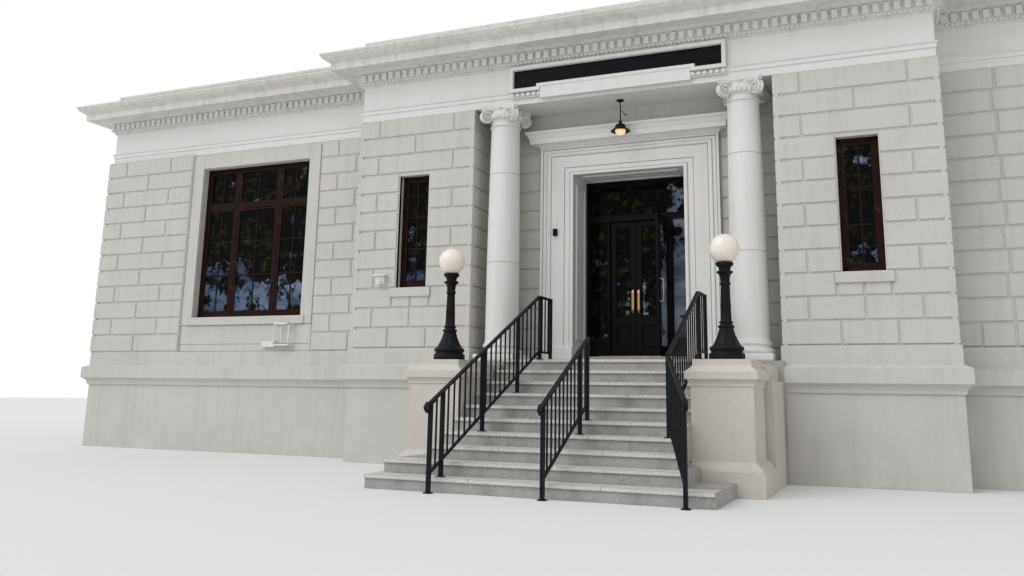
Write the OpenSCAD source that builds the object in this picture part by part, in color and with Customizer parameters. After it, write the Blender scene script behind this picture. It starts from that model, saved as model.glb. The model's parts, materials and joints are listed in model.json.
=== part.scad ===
// Town hall: a one-storey classical front with an open portico, two wings and a flight of steps.
// Millimetres. X runs along the front, Y into the building, Z up. The origin is on the ground,
// on the centre line, in the plane of the pavilion's front wall.

/* [Building] */
// Half width of the whole front
wing_x = 11378; // [10800:10:13000]
// Half width of the projecting pavilion
pavilion_x = 4655; // [4500:5:4800]
// Half width of the portico between the piers
recess_x = 2459; // [2400:1:2520]
// Distance of the wing fronts behind the pavilion front
wing_y = 757; // [720:1:800]
// Distance of the rear wall's face behind the wing fronts
depth = 12000; // [10500:50:14000]
// Thickness of the outer walls
wall_t = 450; // [400:10:480]
// Width of the corner piers at the ends of the wings
corner_w = 2190; // [1900:10:2250]
// Projection of the corner piers
corner_out = 38; // [30:1:42]

/* [Base] */
// Height of the moulded base up to the first course
base_h = 1870; // [1840:1:1900]
// Height of the band above the sloping top of the base ledge
band_h = 270; // [240:1:290]
// Projection of that band
band_out = 45; // [30:1:60]
// Height of the joint between the band and the first course
band_gap = 10; // [6:1:14]
// Height of the sloping top of the ledge
wash_h = 45; // [30:1:60]
// Height of the ledge's upright face
ledge_h = 205; // [180:1:220]
// Projection of the ledge
ledge_out = 150; // [120:1:170]
// Height of the cove and fillet below the ledge
cove_h = 130; // [110:1:150]
// Projection of the fillet below the cove
fillet_out = 60; // [50:1:80]
// Projection of the plain face down to the ground
dado_out = 30; // [20:1:45]

/* [Upper walls] */
// Height of one course of blocks
course_h = 331; // [325:1:340]
// Number of courses up to the architrave
courses = 12; // [11:1:13]
// Height of the architrave
architrave_h = 215; // [190:1:240]
// Height of its lower fascia
fascia_h = 125; // [100:1:140]
// Projection of its lower fascia
fascia_low_out = 4; // [2:1:8]
// Projection of its upper fascia
fascia_out = 20; // [15:1:30]
// Height of the frieze
frieze_h = 420; // [390:1:440]
// Height of the mouldings below the corona
bed_h = 255; // [240:1:280]
// Projection of the band behind the dentils
bed_out = 70; // [55:1:90]
// Height of the corona's upright face
corona_h = 127; // [110:1:140]
// Projection of the corona
corona_out = 450; // [400:5:500]
// Height of the gutter moulding above the corona
cyma_h = 157; // [140:1:180]
// Projection of the gutter moulding beyond the corona
cyma_out = 150; // [120:1:170]
// Height of the parapet above the gutter moulding
parapet_h = 330; // [250:5:450]
// Distance of the parapet's face behind the walls' faces
parapet_in = 12; // [5:1:25]
// Projection of the parapet's coping beyond the walls' faces
coping_out = 25; // [15:1:40]
// Thickness of the parapet
parapet_t = 300; // [250:5:350]
// Thickness of the roof slab
roof_t = 200; // [150:5:250]

/* [Floors and steps] */
// Height of one riser
riser = 165; // [160:1:168]
// Number of risers
risers = 10; // [9:1:11]
// Depth of one tread
tread = 311; // [300:1:320]
// Distance of the top riser in front of the pavilion
landing_y = 645; // [600:5:700]
// Half width of the flight between the cheek walls
flight_x = 1575; // [1500:5:1640]
// Half width of the lowest step
step_one_x = 2117; // [2060:1:2200]
// Distance of the second step's left end from the centre line
step_two_x = 2040; // [1960:1:2100]
// Distance of the second step's right end from the centre line
step_two_right = 1700; // [1650:1:1760]
// Projection of each nosing
nosing_out = 25; // [15:1:30]
// Thickness of each nosing
nosing_h = 45; // [35:1:55]
// Height of the hall floor above the portico floor
floor_rise = 100; // [80:1:120]
// Thickness of the hall floor
floor_t = 250; // [200:10:300]

/* [Pedestals] */
// Width of the die along the front
die_w = 750; // [700:5:800]
// Depth of the die
die_d = 850; // [800:5:900]
// Distance of the die's front face in front of the pavilion
die_y = 2050; // [2000:5:2100]
// Height of the square plinth
ped_plinth_h = 290; // [270:1:310]
// Projection of the plinth
ped_plinth_out = 120; // [100:1:130]
// Height of the base moulding
ped_mould_h = 102; // [90:1:115]
// Height of the top of the die
die_top = 1262; // [1230:1:1280]
// Height of the top of the neck moulding
neck_top = 1350; // [1340:1:1360]
// Projection of the pedestal's corona
ped_corona_out = 62; // [50:1:75]
// Height of the pedestal's corona
ped_corona_h = 90; // [80:1:100]
// Height of the cap block's top
ped_top = 1592; // [1580:1:1610]
// Inset of the cap block from the die
cap_in = 22; // [10:1:30]
// Height of the cheek wall
cheek_top = 1560; // [1540:1:1575]
// Height of the cheek wall's lower ledge
cheek_ledge = 1357; // [1330:1:1380]
// Distance of the cheek wall's upper outer face beyond the flight's side
cheek_w = 800; // [780:1:820]
// Projection of the cheek wall's lower ledge
cheek_out = 60; // [45:1:75]

/* [Columns] */
// Distance of each column from the centre line
column_x = 1969; // [1940:1:1990]
// Distance of the columns behind the pavilion front
column_y = 223; // [215:1:240]
// Radius of the shaft at its foot
shaft_r = 268; // [255:1:275]
// Radius of the shaft below the capital
neck_r = 238; // [225:1:245]
// Width of the square plinth below each column
plinth_w = 690; // [670:1:710]
// Height of that plinth
plinth_h = 105; // [95:1:120]
// Height of the round base mouldings
base_ring_h = 165; // [150:1:180]
// Height of the capital
capital_h = 340; // [320:1:360]
// Width of the abacus
abacus_w = 680; // [650:1:700]
// Height of the abacus
abacus_h = 60; // [50:1:70]
// Radius of the volutes
volute_r = 105; // [95:1:110]
// Thickness of the volutes
volute_t = 95; // [85:1:105]

/* [Sign] */
// Half width of the sign's frame
sign_x = 1780; // [1740:1:1800]
// Height of the sign's lower edge above the architrave's underside
sign_z = 190; // [180:1:200]
// Width of the frame's border
sign_border = 52; // [45:1:60]
// Projection of the frame
sign_out = 70; // [60:1:80]
// Thickness of the dark panel
sign_t = 30; // [20:1:38]

/* [Windows] */
// Width of a pier window's opening
pier_win_w = 565; // [520:1:600]
// Height of a pier window's opening
pier_win_h = 1935; // [1850:1:1980]
// Height of the pier windows' sill top above the first course
pier_win_z = 995; // [985:1:1010]
// Width of a wing window's opening
wing_win_w = 2560; // [2450:5:2600]
// Height of a wing window's opening
wing_win_h = 3000; // [2900:5:3050]
// Height of the wing windows' sill top above the first course
wing_win_z = 650; // [630:1:670]
// Distance of the wing windows' centre from the centre line
wing_win_x = 7590; // [7560:5:7640]
// Width of a wing window's middle light
middle_light = 830; // [780:1:860]
// Height of the sills
sill_h = 150; // [130:1:160]
// Projection of the sills
sill_out = 55; // [45:1:70]
// Distance that a sill runs past its opening at each side
sill_past = 100; // [80:1:120]
// Distance of the window frames behind the wall face
win_set = 120; // [100:1:150]
// Thickness of the window frames
win_t = 90; // [70:1:110]
// Face width of the window frames
win_frame = 62; // [50:1:75]
// Face width of the posts between the lights
win_post = 165; // [150:1:180]
// Thickness of the glass
glass_t = 12; // [8:1:20]
// Number of windows in the rear wall
rear_wins = 5; // [3:1:5]
// Number of windows in each side wall
side_wins = 2; // [1:1:3]

/* [Entrance] */
// Half width of the opening between the reveals
reveal_x = 930; // [910:1:950]
// Height from the opening's head up to the portico ceiling
lintel_h = 1090; // [1045:5:1140]
// Thickness of the reveal lining
lining_t = 100; // [80:1:120]
// Distance of the screen's face behind the wing front plane
screen_set = 623; // [600:1:640]
// Depth of the screen's frame
screen_t = 100; // [98:1:120]
// Face width of the screen's outer frame
screen_frame = 55; // [45:1:65]
// Face width of the two posts beside the doors
screen_post = 45; // [40:1:55]
// Height of the underside of the transom bar above the portico floor
transom_z = 2400; // [2350:5:2450]
// Height of the transom bar
transom_h = 110; // [90:1:120]
// Height of the screen's solid foot below the side lights
screen_foot = 330; // [280:5:380]
// Width of the narrow leaf
narrow_leaf = 434; // [420:1:440]
// Width of the wide leaf
wide_leaf = 592; // [580:1:600]
// Clearance round the leaves
leaf_gap = 5; // [5:0.5:7]
// Thickness of the leaves
leaf_t = 45; // [40:1:48]
// Width of the leaves' stiles
stile_w = 95; // [85:1:105]
// Height of the middle rail's top above the leaf's foot
lock_rail_z = 685; // [650:5:720]
// Height of the middle and bottom rails
rail_h = 150; // [130:1:170]
// Distance of the pair's middle to the right of the centre line
pair_x = 9; // [0:1:20]
// Width of the outer leaf that stands open
outer_leaf = 515; // [500:1:520]
// Angle at which the outer leaf stands open
outer_open = 84; // [75:1:86]
// Length of the pulls
pull_l = 380; // [350:5:420]
// Width of the architrave round the opening
casing_w = 570; // [540:5:590]
// Projection of that architrave
casing_out = 80; // [70:1:90]
// Height of the cornice over it
hood_h = 275; // [250:1:290]
// Projection of that cornice
hood_out = 215; // [200:1:230]

/* [Lamps] */
// Radius of a lamp post's foot
foot_r = 220; // [205:1:235]
// Radius of a lamp post's shaft at its foot
post_r = 70; // [62:1:76]
// Height of a lamp post
post_h = 1236; // [1200:2:1300]
// Radius of the globes
globe_r = 191; // [180:1:200]
// Radius of the cup below a globe
cup_r = 111; // [100:1:120]
// Distance of the hanging lamp behind the pavilion front
hanging_y = 340; // [300:5:380]
// Length of the hanging lamp's stem
stem_l = 380; // [340:5:420]
// Radius of the hanging lamp's shade
shade_r = 158; // [140:1:175]
// Height of that shade
shade_h = 126; // [110:1:140]
// Radius of the glass below it
bulb_r = 92; // [80:1:105]
// Height of that glass
bulb_h = 80; // [70:1:90]

/* [Handrails] */
// Height of the handrail above the nosings
hand_h = 930; // [900:5:960]
// Width of the handrail
hand_w = 50; // [44:1:56]
// Thickness of the handrail
hand_t = 30; // [25:1:36]
// Width of the posts
rail_post = 45; // [40:1:50]
// Width of the balusters
baluster_w = 18; // [15:1:22]
// Spacing of the balusters
baluster_step = 128; // [115:1:140]
// Width of the lower bar
low_bar_w = 30; // [28:1:40]
// Height of the lower bar above the nosings
low_bar_h = 120; // [100:5:140]
// Distance of the left handrail's head from the centre line
left_rail_x = 970; // [930:5:1010]
// Distance of the left handrail's foot from the centre line
left_foot_x = 1165; // [1100:5:1230]
// Distance of the middle handrail from the centre line
centre_rail_x = 250; // [200:5:300]
// Distance of the right handrail's bend from the centre line
right_rail_x = 1400; // [1360:5:1440]
// Distance of the right handrail's foot from the centre line
right_foot_x = 1835; // [1790:5:1880]
// Rise of the right handrail above its slope at its foot
right_foot_lift = 80; // [60:1:100]
// Length of the level part at the top
level_l = 500; // [450:5:540]

/* [Hidden] */
$fn = 64;

rear_y = wing_y + depth;
landing_z = riser * risers;
floor_z = landing_z + floor_rise;
arch_z = base_h + courses * course_h;
reveal_h = arch_z - landing_z - lintel_h;
frieze_z = arch_z + architrave_h;
bed_z = frieze_z + frieze_h;
corona_z = bed_z + bed_h;
cyma_z = corona_z + corona_h;
gutter_z = cyma_z + cyma_h;
parapet_z = gutter_z + parapet_h;
step_y = -landing_y - (risers - 1) * tread;
ledge_z = base_h - band_h - wash_h;
screen_y = wing_y + screen_set;
ped_front = -die_y - ped_plinth_out;
ped_back = -die_y + die_d;
landing_front = -ledge_out;
// Farther than any section reaches in or out from its plan
reach = corona_out + cyma_out + 100;
cut = 1;

// The building's plan, counter-clockwise from the left front corner, without the portico
plan = [[-wing_x, wing_y], [-pavilion_x, wing_y], [-pavilion_x, 0], [pavilion_x, 0],
        [pavilion_x, wing_y], [wing_x, wing_y], [wing_x, rear_y], [-wing_x, rear_y]];
// The same plan with the portico's recess between the piers
wall_plan = [[-wing_x, wing_y], [-pavilion_x, wing_y], [-pavilion_x, 0], [-recess_x, 0],
             [-recess_x, wing_y], [recess_x, wing_y], [recess_x, 0], [pavilion_x, 0],
             [pavilion_x, wing_y], [wing_x, wing_y], [wing_x, rear_y], [-wing_x, rear_y]];

// Outline of the walls in section: distance out of the wall face, and height. The face of the
// blocks stands out by a given distance.
function wall_section(out) = [
    [dado_out, 0], [dado_out, ledge_z - ledge_h - cove_h], [fillet_out, ledge_z - ledge_h - cove_h],
    [fillet_out, ledge_z - ledge_h - cove_h * 2 / 3],
    [fillet_out + (ledge_out - fillet_out) * 0.25, ledge_z - ledge_h - cove_h / 3],
    [fillet_out + (ledge_out - fillet_out) * 0.7, ledge_z - ledge_h - cove_h / 8],
    [ledge_out - 10, ledge_z - ledge_h], [ledge_out, ledge_z - ledge_h], [ledge_out, ledge_z],
    [band_out, ledge_z + wash_h], [band_out, base_h - band_gap], [out, base_h - band_gap],
    [out, arch_z], [-wall_t, arch_z], [-wall_t, 0]];
portico_section = [[0, 0], [0, landing_z], [band_out, landing_z], [band_out, base_h - band_gap],
                   [0, base_h - band_gap], [0, arch_z], [-wall_t, arch_z], [-wall_t, 0]];
entablature_section = [[fascia_low_out, arch_z], [fascia_low_out, arch_z + fascia_h],
                       [fascia_out, arch_z + fascia_h], [fascia_out, frieze_z - 30],
                       [fascia_out * 2, frieze_z - 15], [fascia_out * 2, frieze_z],
                       [0, frieze_z], [0, bed_z], [-wall_t, bed_z], [-wall_t, arch_z]];
cornice_section = [[0, bed_z], [bed_out * 0.5, bed_z + 20], [bed_out * 0.5, bed_z + 45],
                   [bed_out, bed_z + 60], [bed_out, bed_z + bed_h * 0.84], [bed_out * 2.1, corona_z - 18],
                   [bed_out * 2.8, corona_z], [corona_out, corona_z], [corona_out, cyma_z],
                   [corona_out + 15, cyma_z + 8],
                   [corona_out + cyma_out * 0.35, cyma_z + cyma_h * 0.2],
                   [corona_out + cyma_out * 0.72, cyma_z + cyma_h * 0.45],
                   [corona_out + cyma_out * 0.95, cyma_z + cyma_h * 0.76],
                   [corona_out + cyma_out, cyma_z + cyma_h * 0.8], [corona_out + cyma_out, gutter_z],
                   [-parapet_in, gutter_z + 40], [-parapet_in, parapet_z - 70], [coping_out, parapet_z - 55],
                   [coping_out, parapet_z - 10], [coping_out - 10, parapet_z], [-parapet_t, parapet_z],
                   [-parapet_t, bed_z]];

// Outward normal of the edge from a to b
function normal(a, b) = let(d = b - a, n = norm(d)) [d[1] / n, -d[0] / n];
function at(path, k) = path[(k + len(path)) % len(path)];
// A plan corner moved out by a distance from both of its edges
function corner(path, k, out) =
    at(path, k) + out * (normal(at(path, k - 1), at(path, k)) + normal(at(path, k), at(path, k + 1)));
function grown(path, out) = [for (k = [0 : len(path) - 1]) corner(path, k, out)];

// A place out of the edge after a corner, and past that edge's start or end along it
function past(path, edge, k, out, way) = let(a = at(path, edge), b = at(path, edge + 1))
    at(path, k) + out * normal(a, b) + way * 2 * reach * (b - a) / norm(b - a);

// A section swept along a plan from one corner to another. Both ends run past their corner and
// are cut off at the mitre.
module run(section, path, first, last) {
    n = len(section);
    m = last - first;
    points = [for (k = [first : last]) for (s = section)
              let(c = k == first ? past(path, first, k, s[0], -1)
                      : k == last ? past(path, last - 1, k, s[0], 1) : corner(path, k, s[0]))
              [c[0], c[1], s[1]]];
    sides = [for (k = [0 : m - 1]) for (i = [0 : n - 1]) let(j = (i + 1) % n)
             [k * n + i, k * n + j, (k + 1) * n + j, (k + 1) * n + i]];
    ends = [[for (i = [n - 1 : -1 : 0]) i], [for (i = [0 : n - 1]) m * n + i]];
    intersection() {
        polyhedron(points, concat(sides, ends));
        translate([0, 0, -cut]) linear_extrude(parapet_z + 2 * cut) polygon(concat(
            [for (k = [first : last]) corner(path, k, reach)],
            [for (k = [last : -1 : first]) corner(path, k, -reach)]));
    }
}

// A block whose rings grow and shrink by a profile of [out, height] pairs. sides holds the
// shares of that growth at left, front, right and back.
module moulded(x0, x1, y0, y1, profile, sides = [1, 1, 1, 1]) {
    n = len(profile);
    points = [for (p = profile) each [[x0 - p[0] * sides[0], y0 - p[0] * sides[1], p[1]],
                                      [x1 + p[0] * sides[2], y0 - p[0] * sides[1], p[1]],
                                      [x1 + p[0] * sides[2], y1 + p[0] * sides[3], p[1]],
                                      [x0 - p[0] * sides[0], y1 + p[0] * sides[3], p[1]]]];
    walls = [for (k = [0 : n - 2]) for (i = [0 : 3]) let(j = (i + 1) % 4)
             [k * 4 + i, (k + 1) * 4 + i, (k + 1) * 4 + j, k * 4 + j]];
    polyhedron(points, concat(walls, [[0, 1, 2, 3], [for (i = [3 : -1 : 0]) (n - 1) * 4 + i]]));
}

module box(x0, x1, y0, y1, z0, z1) {
    translate([x0, y0, z0]) cube([x1 - x0, y1 - y0, z1 - z0]);
}

// The module's children at the right, or mirrored to the left
module side(s) {
    if (s > 0) children();
    else mirror([1, 0, 0]) children();
}

// Places its children at each side window, on the left wall
module side_places() {
    for (k = [1 : side_wins])
        translate([-wing_x, wing_y + depth * k / (side_wins + 1), 0]) rotate(-90) children();
}

// Places its children at each rear window
module rear_places() {
    for (k = [1 : rear_wins])
        translate([-wing_x + 2 * wing_x * k / (rear_wins + 1), rear_y, 0]) rotate(180) children();
}

// A window opening, with the wall face at Y = 0
module hole(w, h, z) { box(-w / 2, w / 2, -wall_t / 2, wall_t + cut, base_h + z, base_h + z + h); }

module sill(w, z) {
    box(-w / 2 - sill_past, w / 2 + sill_past, -sill_out, 0, base_h + z - sill_h, base_h + z);
}

// A window: frame, posts and one sheet of glass for each light, between the posts at given places
module window(w, h, z, posts, post_w) {
    edges = concat([-w / 2 + win_frame - post_w / 2], posts, [w / 2 - win_frame + post_w / 2]);
    difference() {
        box(-w / 2, w / 2, win_set, win_set + win_t, base_h + z, base_h + z + h);
        for (k = [0 : len(edges) - 2])
            for (y = [[-cut, (win_t - glass_t) / 2], [(win_t + glass_t) / 2, win_t + cut]])
                box(edges[k] + post_w / 2, edges[k + 1] - post_w / 2, win_set + y[0], win_set + y[1],
                    base_h + z + win_frame, base_h + z + h - win_frame);
    }
}

module pier_window() { window(pier_win_w, pier_win_h, pier_win_z, [], 0); }
module wing_window() {
    post_x = (middle_light + win_post) / 2;
    window(wing_win_w, wing_win_h, wing_win_z, [-post_x, post_x], win_post);
}
module wing_hole() { hole(wing_win_w, wing_win_h, wing_win_z); }
module wing_sill() { sill(wing_win_w, wing_win_z); }

// The pier at the right of the portico, with its window
module pier() {
    pier_mid = (recess_x + pavilion_x) / 2;
    color("lightgray") {
        difference() {
            union() {
                run(wall_section(0), wall_plan, 5, 8);
                linear_extrude(arch_z) polygon([[recess_x, wing_y], [recess_x + wall_t, wing_y + wall_t],
                                                [recess_x, wing_y + wall_t]]);
            }
            box(0, recess_x, -2 * ledge_out, wing_y + cut, -cut, landing_z);
            translate([pier_mid, 0, 0]) hole(pier_win_w, pier_win_h, pier_win_z);
        }
        translate([pier_mid, 0, 0]) sill(pier_win_w, pier_win_z);
    }
}

// The wall beside the entrance; its band is mitred against the pier's
module portico_wall() {
    length = recess_x - reveal_x - lining_t;
    past = band_out + cut;
    color("gainsboro") difference() {
        translate([reveal_x + lining_t, 0, 0]) rotate([90, 0, 90]) linear_extrude(length)
            polygon([for (p = portico_section) [wing_y - p[0], p[1]]]);
        translate([0, 0, landing_z - cut]) linear_extrude(band_h)
            polygon([[recess_x + cut, wing_y + cut], [recess_x - past, wing_y - past],
                     [recess_x + cut, wing_y - past]]);
    }
}

module portico_wall_over() {
    edge = reveal_x + lining_t;
    color("gainsboro") box(-edge, edge, wing_y, wing_y + wall_t, landing_z + reveal_h + lining_t, arch_z);
}

module wing_wall() {
    color("lightgray") {
        difference() {
            run(wall_section(corner_out), wall_plan, 8, 9);
            between_corners(pavilion_x, wing_x - corner_w, wing_y - ledge_out, wing_y);
            translate([wing_win_x, wing_y, 0]) wing_hole();
        }
        translate([wing_win_x, wing_y, 0]) wing_sill();
    }
}

// What is cut off the face of the blocks between the thicker stonework at the corners
module between_corners(x0, x1, y0, y1) { box(x0, x1, y0, y1, base_h - band_gap, arch_z + cut); }

module side_wall() {
    color("lightgray") mirror([1, 0, 0]) {
        difference() {
            run(wall_section(corner_out), wall_plan, 11, 12);
            between_corners(-wing_x - ledge_out, -wing_x, wing_y + corner_w, rear_y - corner_w);
            side_places() wing_hole();
        }
        side_places() wing_sill();
    }
}

module rear_wall() {
    color("lightgray") {
        difference() {
            run(wall_section(corner_out), wall_plan, 10, 11);
            between_corners(corner_w - wing_x, wing_x - corner_w, rear_y, rear_y + ledge_out);
            rear_places() wing_hole();
        }
        rear_places() wing_sill();
    }
}

module hall_floor() {
    far = reveal_x + lining_t;
    color("dimgray") difference() {
        translate([0, 0, floor_z - floor_t]) linear_extrude(floor_t) polygon(grown(wall_plan, -wall_t));
        box(-far, far, wing_y, screen_y + screen_t, landing_z, floor_z + cut);
    }
}

// The portico floor, with a nosing at the head of the flight
module portico_floor() {
    color("darkgray") difference() {
        linear_extrude(landing_z) polygon([
            [-flight_x, -landing_y], [flight_x, -landing_y], [flight_x, landing_front],
            [recess_x, landing_front], [recess_x, wing_y], [-recess_x, wing_y],
            [-recess_x, landing_front], [-flight_x, landing_front]]);
        box(-flight_x - cut, flight_x + cut, -landing_y - cut, nosing_out - landing_y,
            landing_z - riser, landing_z - nosing_h);
    }
}

module portico_ceiling() {
    far = recess_x + wall_t;
    color("whitesmoke") box(-far, far, wall_t, wing_y + wall_t, arch_z, arch_z + roof_t);
}

module roof_slab() {
    color("slategray") translate([0, 0, bed_z]) linear_extrude(roof_t)
        polygon(grown(plan, -parapet_t));
}

module front_entablature() { color("whitesmoke") run(entablature_section, plan, 0, 5); }
module side_entablature() { color("whitesmoke") run(entablature_section, plan, 5, 6); }
module rear_entablature() { color("whitesmoke") run(entablature_section, plan, 6, 7); }
module pavilion_cornice() { color("white") run(cornice_section, plan, 1, 4); }
module wing_cornice() { color("white") run(cornice_section, plan, 4, 5); }
module side_cornice() { color("white") run(cornice_section, plan, 5, 6); }
module rear_cornice() { color("white") run(cornice_section, plan, 6, 7); }

// The white frame round the sign, and the dark panel in it
module sign_outline(inset) {
    translate([-sign_x + inset, arch_z + sign_z + inset])
        square([2 * (sign_x - inset), bed_z - arch_z - sign_z - 2 * inset]);
}

module on_front(out, t) { translate([0, -out, 0]) rotate([90, 0, 0]) linear_extrude(t) children(); }

module sign_frame() {
    color("white") on_front(fascia_out * 2, sign_out - fascia_out * 2) difference() {
        sign_outline(0);
        sign_outline(sign_border);
    }
}

module sign_panel() {
    color("black") difference() {
        on_front(0, sign_t) sign_outline(sign_border);
        box(-sign_x, sign_x, -fascia_out * 2, cut, arch_z, frieze_z);
    }
}

module column() {
    ring = base_ring_h;
    foot = landing_z + plinth_h;
    top = arch_z - capital_h;
    color("white") translate([column_x, column_y, 0]) {
        box(-plinth_w / 2, plinth_w / 2, -plinth_w / 2, plinth_w / 2, landing_z, foot);
        rotate_extrude($fn = 96) {
            translate([0, foot]) square([plinth_w / 2 - ring * 0.21, ring * 0.42]);
            translate([plinth_w / 2 - ring * 0.21, foot + ring * 0.21]) circle(ring * 0.21);
            translate([0, foot + ring * 0.42]) square([shaft_r + ring * 0.12, ring * 0.3]);
            translate([0, foot + ring * 0.72]) square([shaft_r + ring * 0.1, ring * 0.28]);
            translate([shaft_r + ring * 0.1, foot + ring * 0.86]) circle(ring * 0.14);
            polygon([[0, foot + ring], [shaft_r + 18, foot + ring], [shaft_r + 18, foot + ring + 22],
                     [shaft_r, foot + ring + 55], [shaft_r, foot + ring + (top - foot) / 3],
                     [(shaft_r + neck_r) / 2, foot + (top - foot) * 0.72], [neck_r, top], [0, top]]);
        }
    }
}

// The capital: a bell, an egg band, four diagonal volutes and the abacus
module capital() {
    z0 = arch_z - capital_h;
    abacus_z = arch_z - abacus_h;
    eye_z = abacus_z - volute_r * 0.9;
    color("white") translate([column_x, column_y, 0]) {
        translate([0, 0, z0]) cylinder(r = neck_r + 14, h = 26);
        translate([0, 0, z0]) cylinder(r = neck_r, h = capital_h - abacus_h);
        translate([0, 0, eye_z - 30]) cylinder(r = neck_r + 45, h = abacus_z - eye_z + 30);
        box(-abacus_w / 2, abacus_w / 2, -abacus_w / 2, abacus_w / 2, abacus_z, arch_z);
        for (a = [45 : 90 : 315]) rotate(a)
            translate([abacus_w * 0.707 - volute_r - 35, volute_t / 2, eye_z]) rotate([90, 0, 0])
                cylinder(r = volute_r, h = volute_t);
    }
}

// Height of the architrave's head as a share of the width of its sides
head_share = 0.86;

// Outline of the architrave round the entrance, between two distances from the opening
module casing_ring(near, far, out) {
    translate([0, wing_y, 0]) on_front(0, out) difference() {
        translate([-reveal_x - far, landing_z]) square([2 * (reveal_x + far), reveal_h + far * head_share]);
        translate([-reveal_x - near, landing_z - cut])
            square([2 * (reveal_x + near), reveal_h + near * head_share + cut]);
    }
}

module door_surround() {
    top = landing_z + reveal_h + casing_w * head_share;
    face = wing_y - casing_out;
    color("white") {
        difference() {
            union() {
                casing_ring(0, casing_w, casing_out * 0.55);
                casing_ring(0, casing_w * 0.09, casing_out * 0.8);
                casing_ring(casing_w * 0.66, casing_w, casing_out * 0.8);
                casing_ring(casing_w * 0.85, casing_w, casing_out);
            }
            for (s = [-1, 1]) side(s)
                box(reveal_x - cut, reveal_x + casing_w + cut, face - cut, wing_y - band_out, 0, landing_z);
            for (s = [-1, 1]) side(s)
                box(reveal_x + lining_t, reveal_x + casing_w + cut, wing_y - band_out, wing_y + cut,
                    landing_z - cut, base_h - band_gap);
        }
        moulded(-reveal_x - casing_w, reveal_x + casing_w, face, wing_y,
                [[0, top], [hood_out * 0.1, top + 12], [hood_out * 0.35, top + hood_h * 0.17],
                 [hood_out * 0.72, top + hood_h * 0.19], [hood_out * 0.72, top + hood_h * 0.5],
                 [hood_out * 0.8, top + hood_h * 0.56], [hood_out * 0.92, top + hood_h * 0.72],
                 [hood_out, top + hood_h * 0.86], [hood_out, top + hood_h * 0.95], [0, top + hood_h]],
                [1, 1, 1, 0]);
    }
}

// The lining of the deep opening, from the wall face back past the screen
module door_reveal() {
    far = reveal_x + lining_t;
    back = screen_y + screen_t;
    color("whitesmoke") {
        for (s = [-1, 1]) side(s) box(reveal_x, far, wing_y, back, landing_z, landing_z + reveal_h);
        box(-far, far, wing_y, back, landing_z + reveal_h, landing_z + reveal_h + lining_t);
    }
}

module door_sill() {
    color("darkgray") box(-reveal_x, reveal_x, wing_y, screen_y + screen_t, landing_z, floor_z);
    color("goldenrod") box(-reveal_x, reveal_x, screen_y + 8, screen_y + screen_t - 8, floor_z, floor_z + 10);
}

door_z = floor_z + 10;
post_left = pair_x - (narrow_leaf + wide_leaf + 3 * leaf_gap) / 2;
post_right = post_left + narrow_leaf + wide_leaf + 3 * leaf_gap;
leaf_z = door_z + leaf_gap;
leaf_h = landing_z + transom_z - leaf_gap - leaf_z;
leaf_y = screen_y + screen_t - leaf_t;
pin_r = 7;
knuckle_r = 12;
knuckle_l = 90;
axis_out = 14;
arm_x = 20;
flap_x = 40;
hinge_z = [leaf_h * 0.08, leaf_h * 0.5, leaf_h * 0.92 - knuckle_l];
fit = 0.3;

// Fixed half of three hinges: two short knuckles and a pin at each, with an arm to the frame
module fixed_hinges(x, y) {
    for (z = hinge_z) translate([0, 0, leaf_z + z]) {
        cylinder(r = pin_r, h = knuckle_l, $fn = 32);
        for (k = [0, knuckle_l * 2 / 3]) translate([0, 0, k]) {
            cylinder(r = knuckle_r, h = knuckle_l / 3, $fn = 32);
            box(min(0, x), max(0, x), min(0, y), max(0, y), 0, knuckle_l / 3);
        }
    }
}

// Moving half: one knuckle at each hinge, with a flap to the leaf's face
module moving_hinges(y) {
    for (z = hinge_z) translate([0, 0, leaf_z + z + knuckle_l / 3 + fit]) difference() {
        union() {
            cylinder(r = knuckle_r, h = knuckle_l / 3 - 2 * fit, $fn = 32);
            box(0, flap_x, min(0, y), max(0, y), 0, knuckle_l / 3 - 2 * fit);
        }
        translate([0, 0, -cut]) cylinder(r = pin_r + fit, h = knuckle_l, $fn = 32);
    }
}

// A screen of posts and bars with glass: side lights, a transom light and the gap for the doors
module door_screen() {
    inner = reveal_x - screen_frame;
    top = landing_z + reveal_h;
    bar = landing_z + transom_z;
    sheet = screen_y + (screen_t - glass_t) / 2;
    arm_y = screen_y + screen_t - leaf_y - leaf_t - axis_out - cut;
    color("black") {
        difference() {
            box(-reveal_x, reveal_x, screen_y, screen_y + screen_t, door_z, top);
            box(post_left, post_right, screen_y - cut, screen_y + screen_t + cut, door_z - cut, bar);
            for (y = [[screen_y - cut, sheet], [sheet + glass_t, screen_y + screen_t + cut]]) {
                box(-inner, inner, y[0], y[1], bar + transom_h, top - screen_frame * 2);
                box(-inner, post_left - screen_post, y[0], y[1], floor_z + screen_foot, bar);
                box(post_right + screen_post, inner, y[0], y[1], floor_z + screen_foot, bar);
            }
        }
        translate([post_left + leaf_gap / 2, leaf_y + leaf_t + axis_out, 0])
            fixed_hinges(-arm_x, arm_y);
        translate([post_right - leaf_gap / 2, leaf_y + leaf_t + axis_out, 0])
            fixed_hinges(arm_x, arm_y);
        translate([outer_axis_x, outer_axis_y, 0]) fixed_hinges(arm_x - 4, screen_y - outer_axis_y + cut);
    }
}

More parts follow.
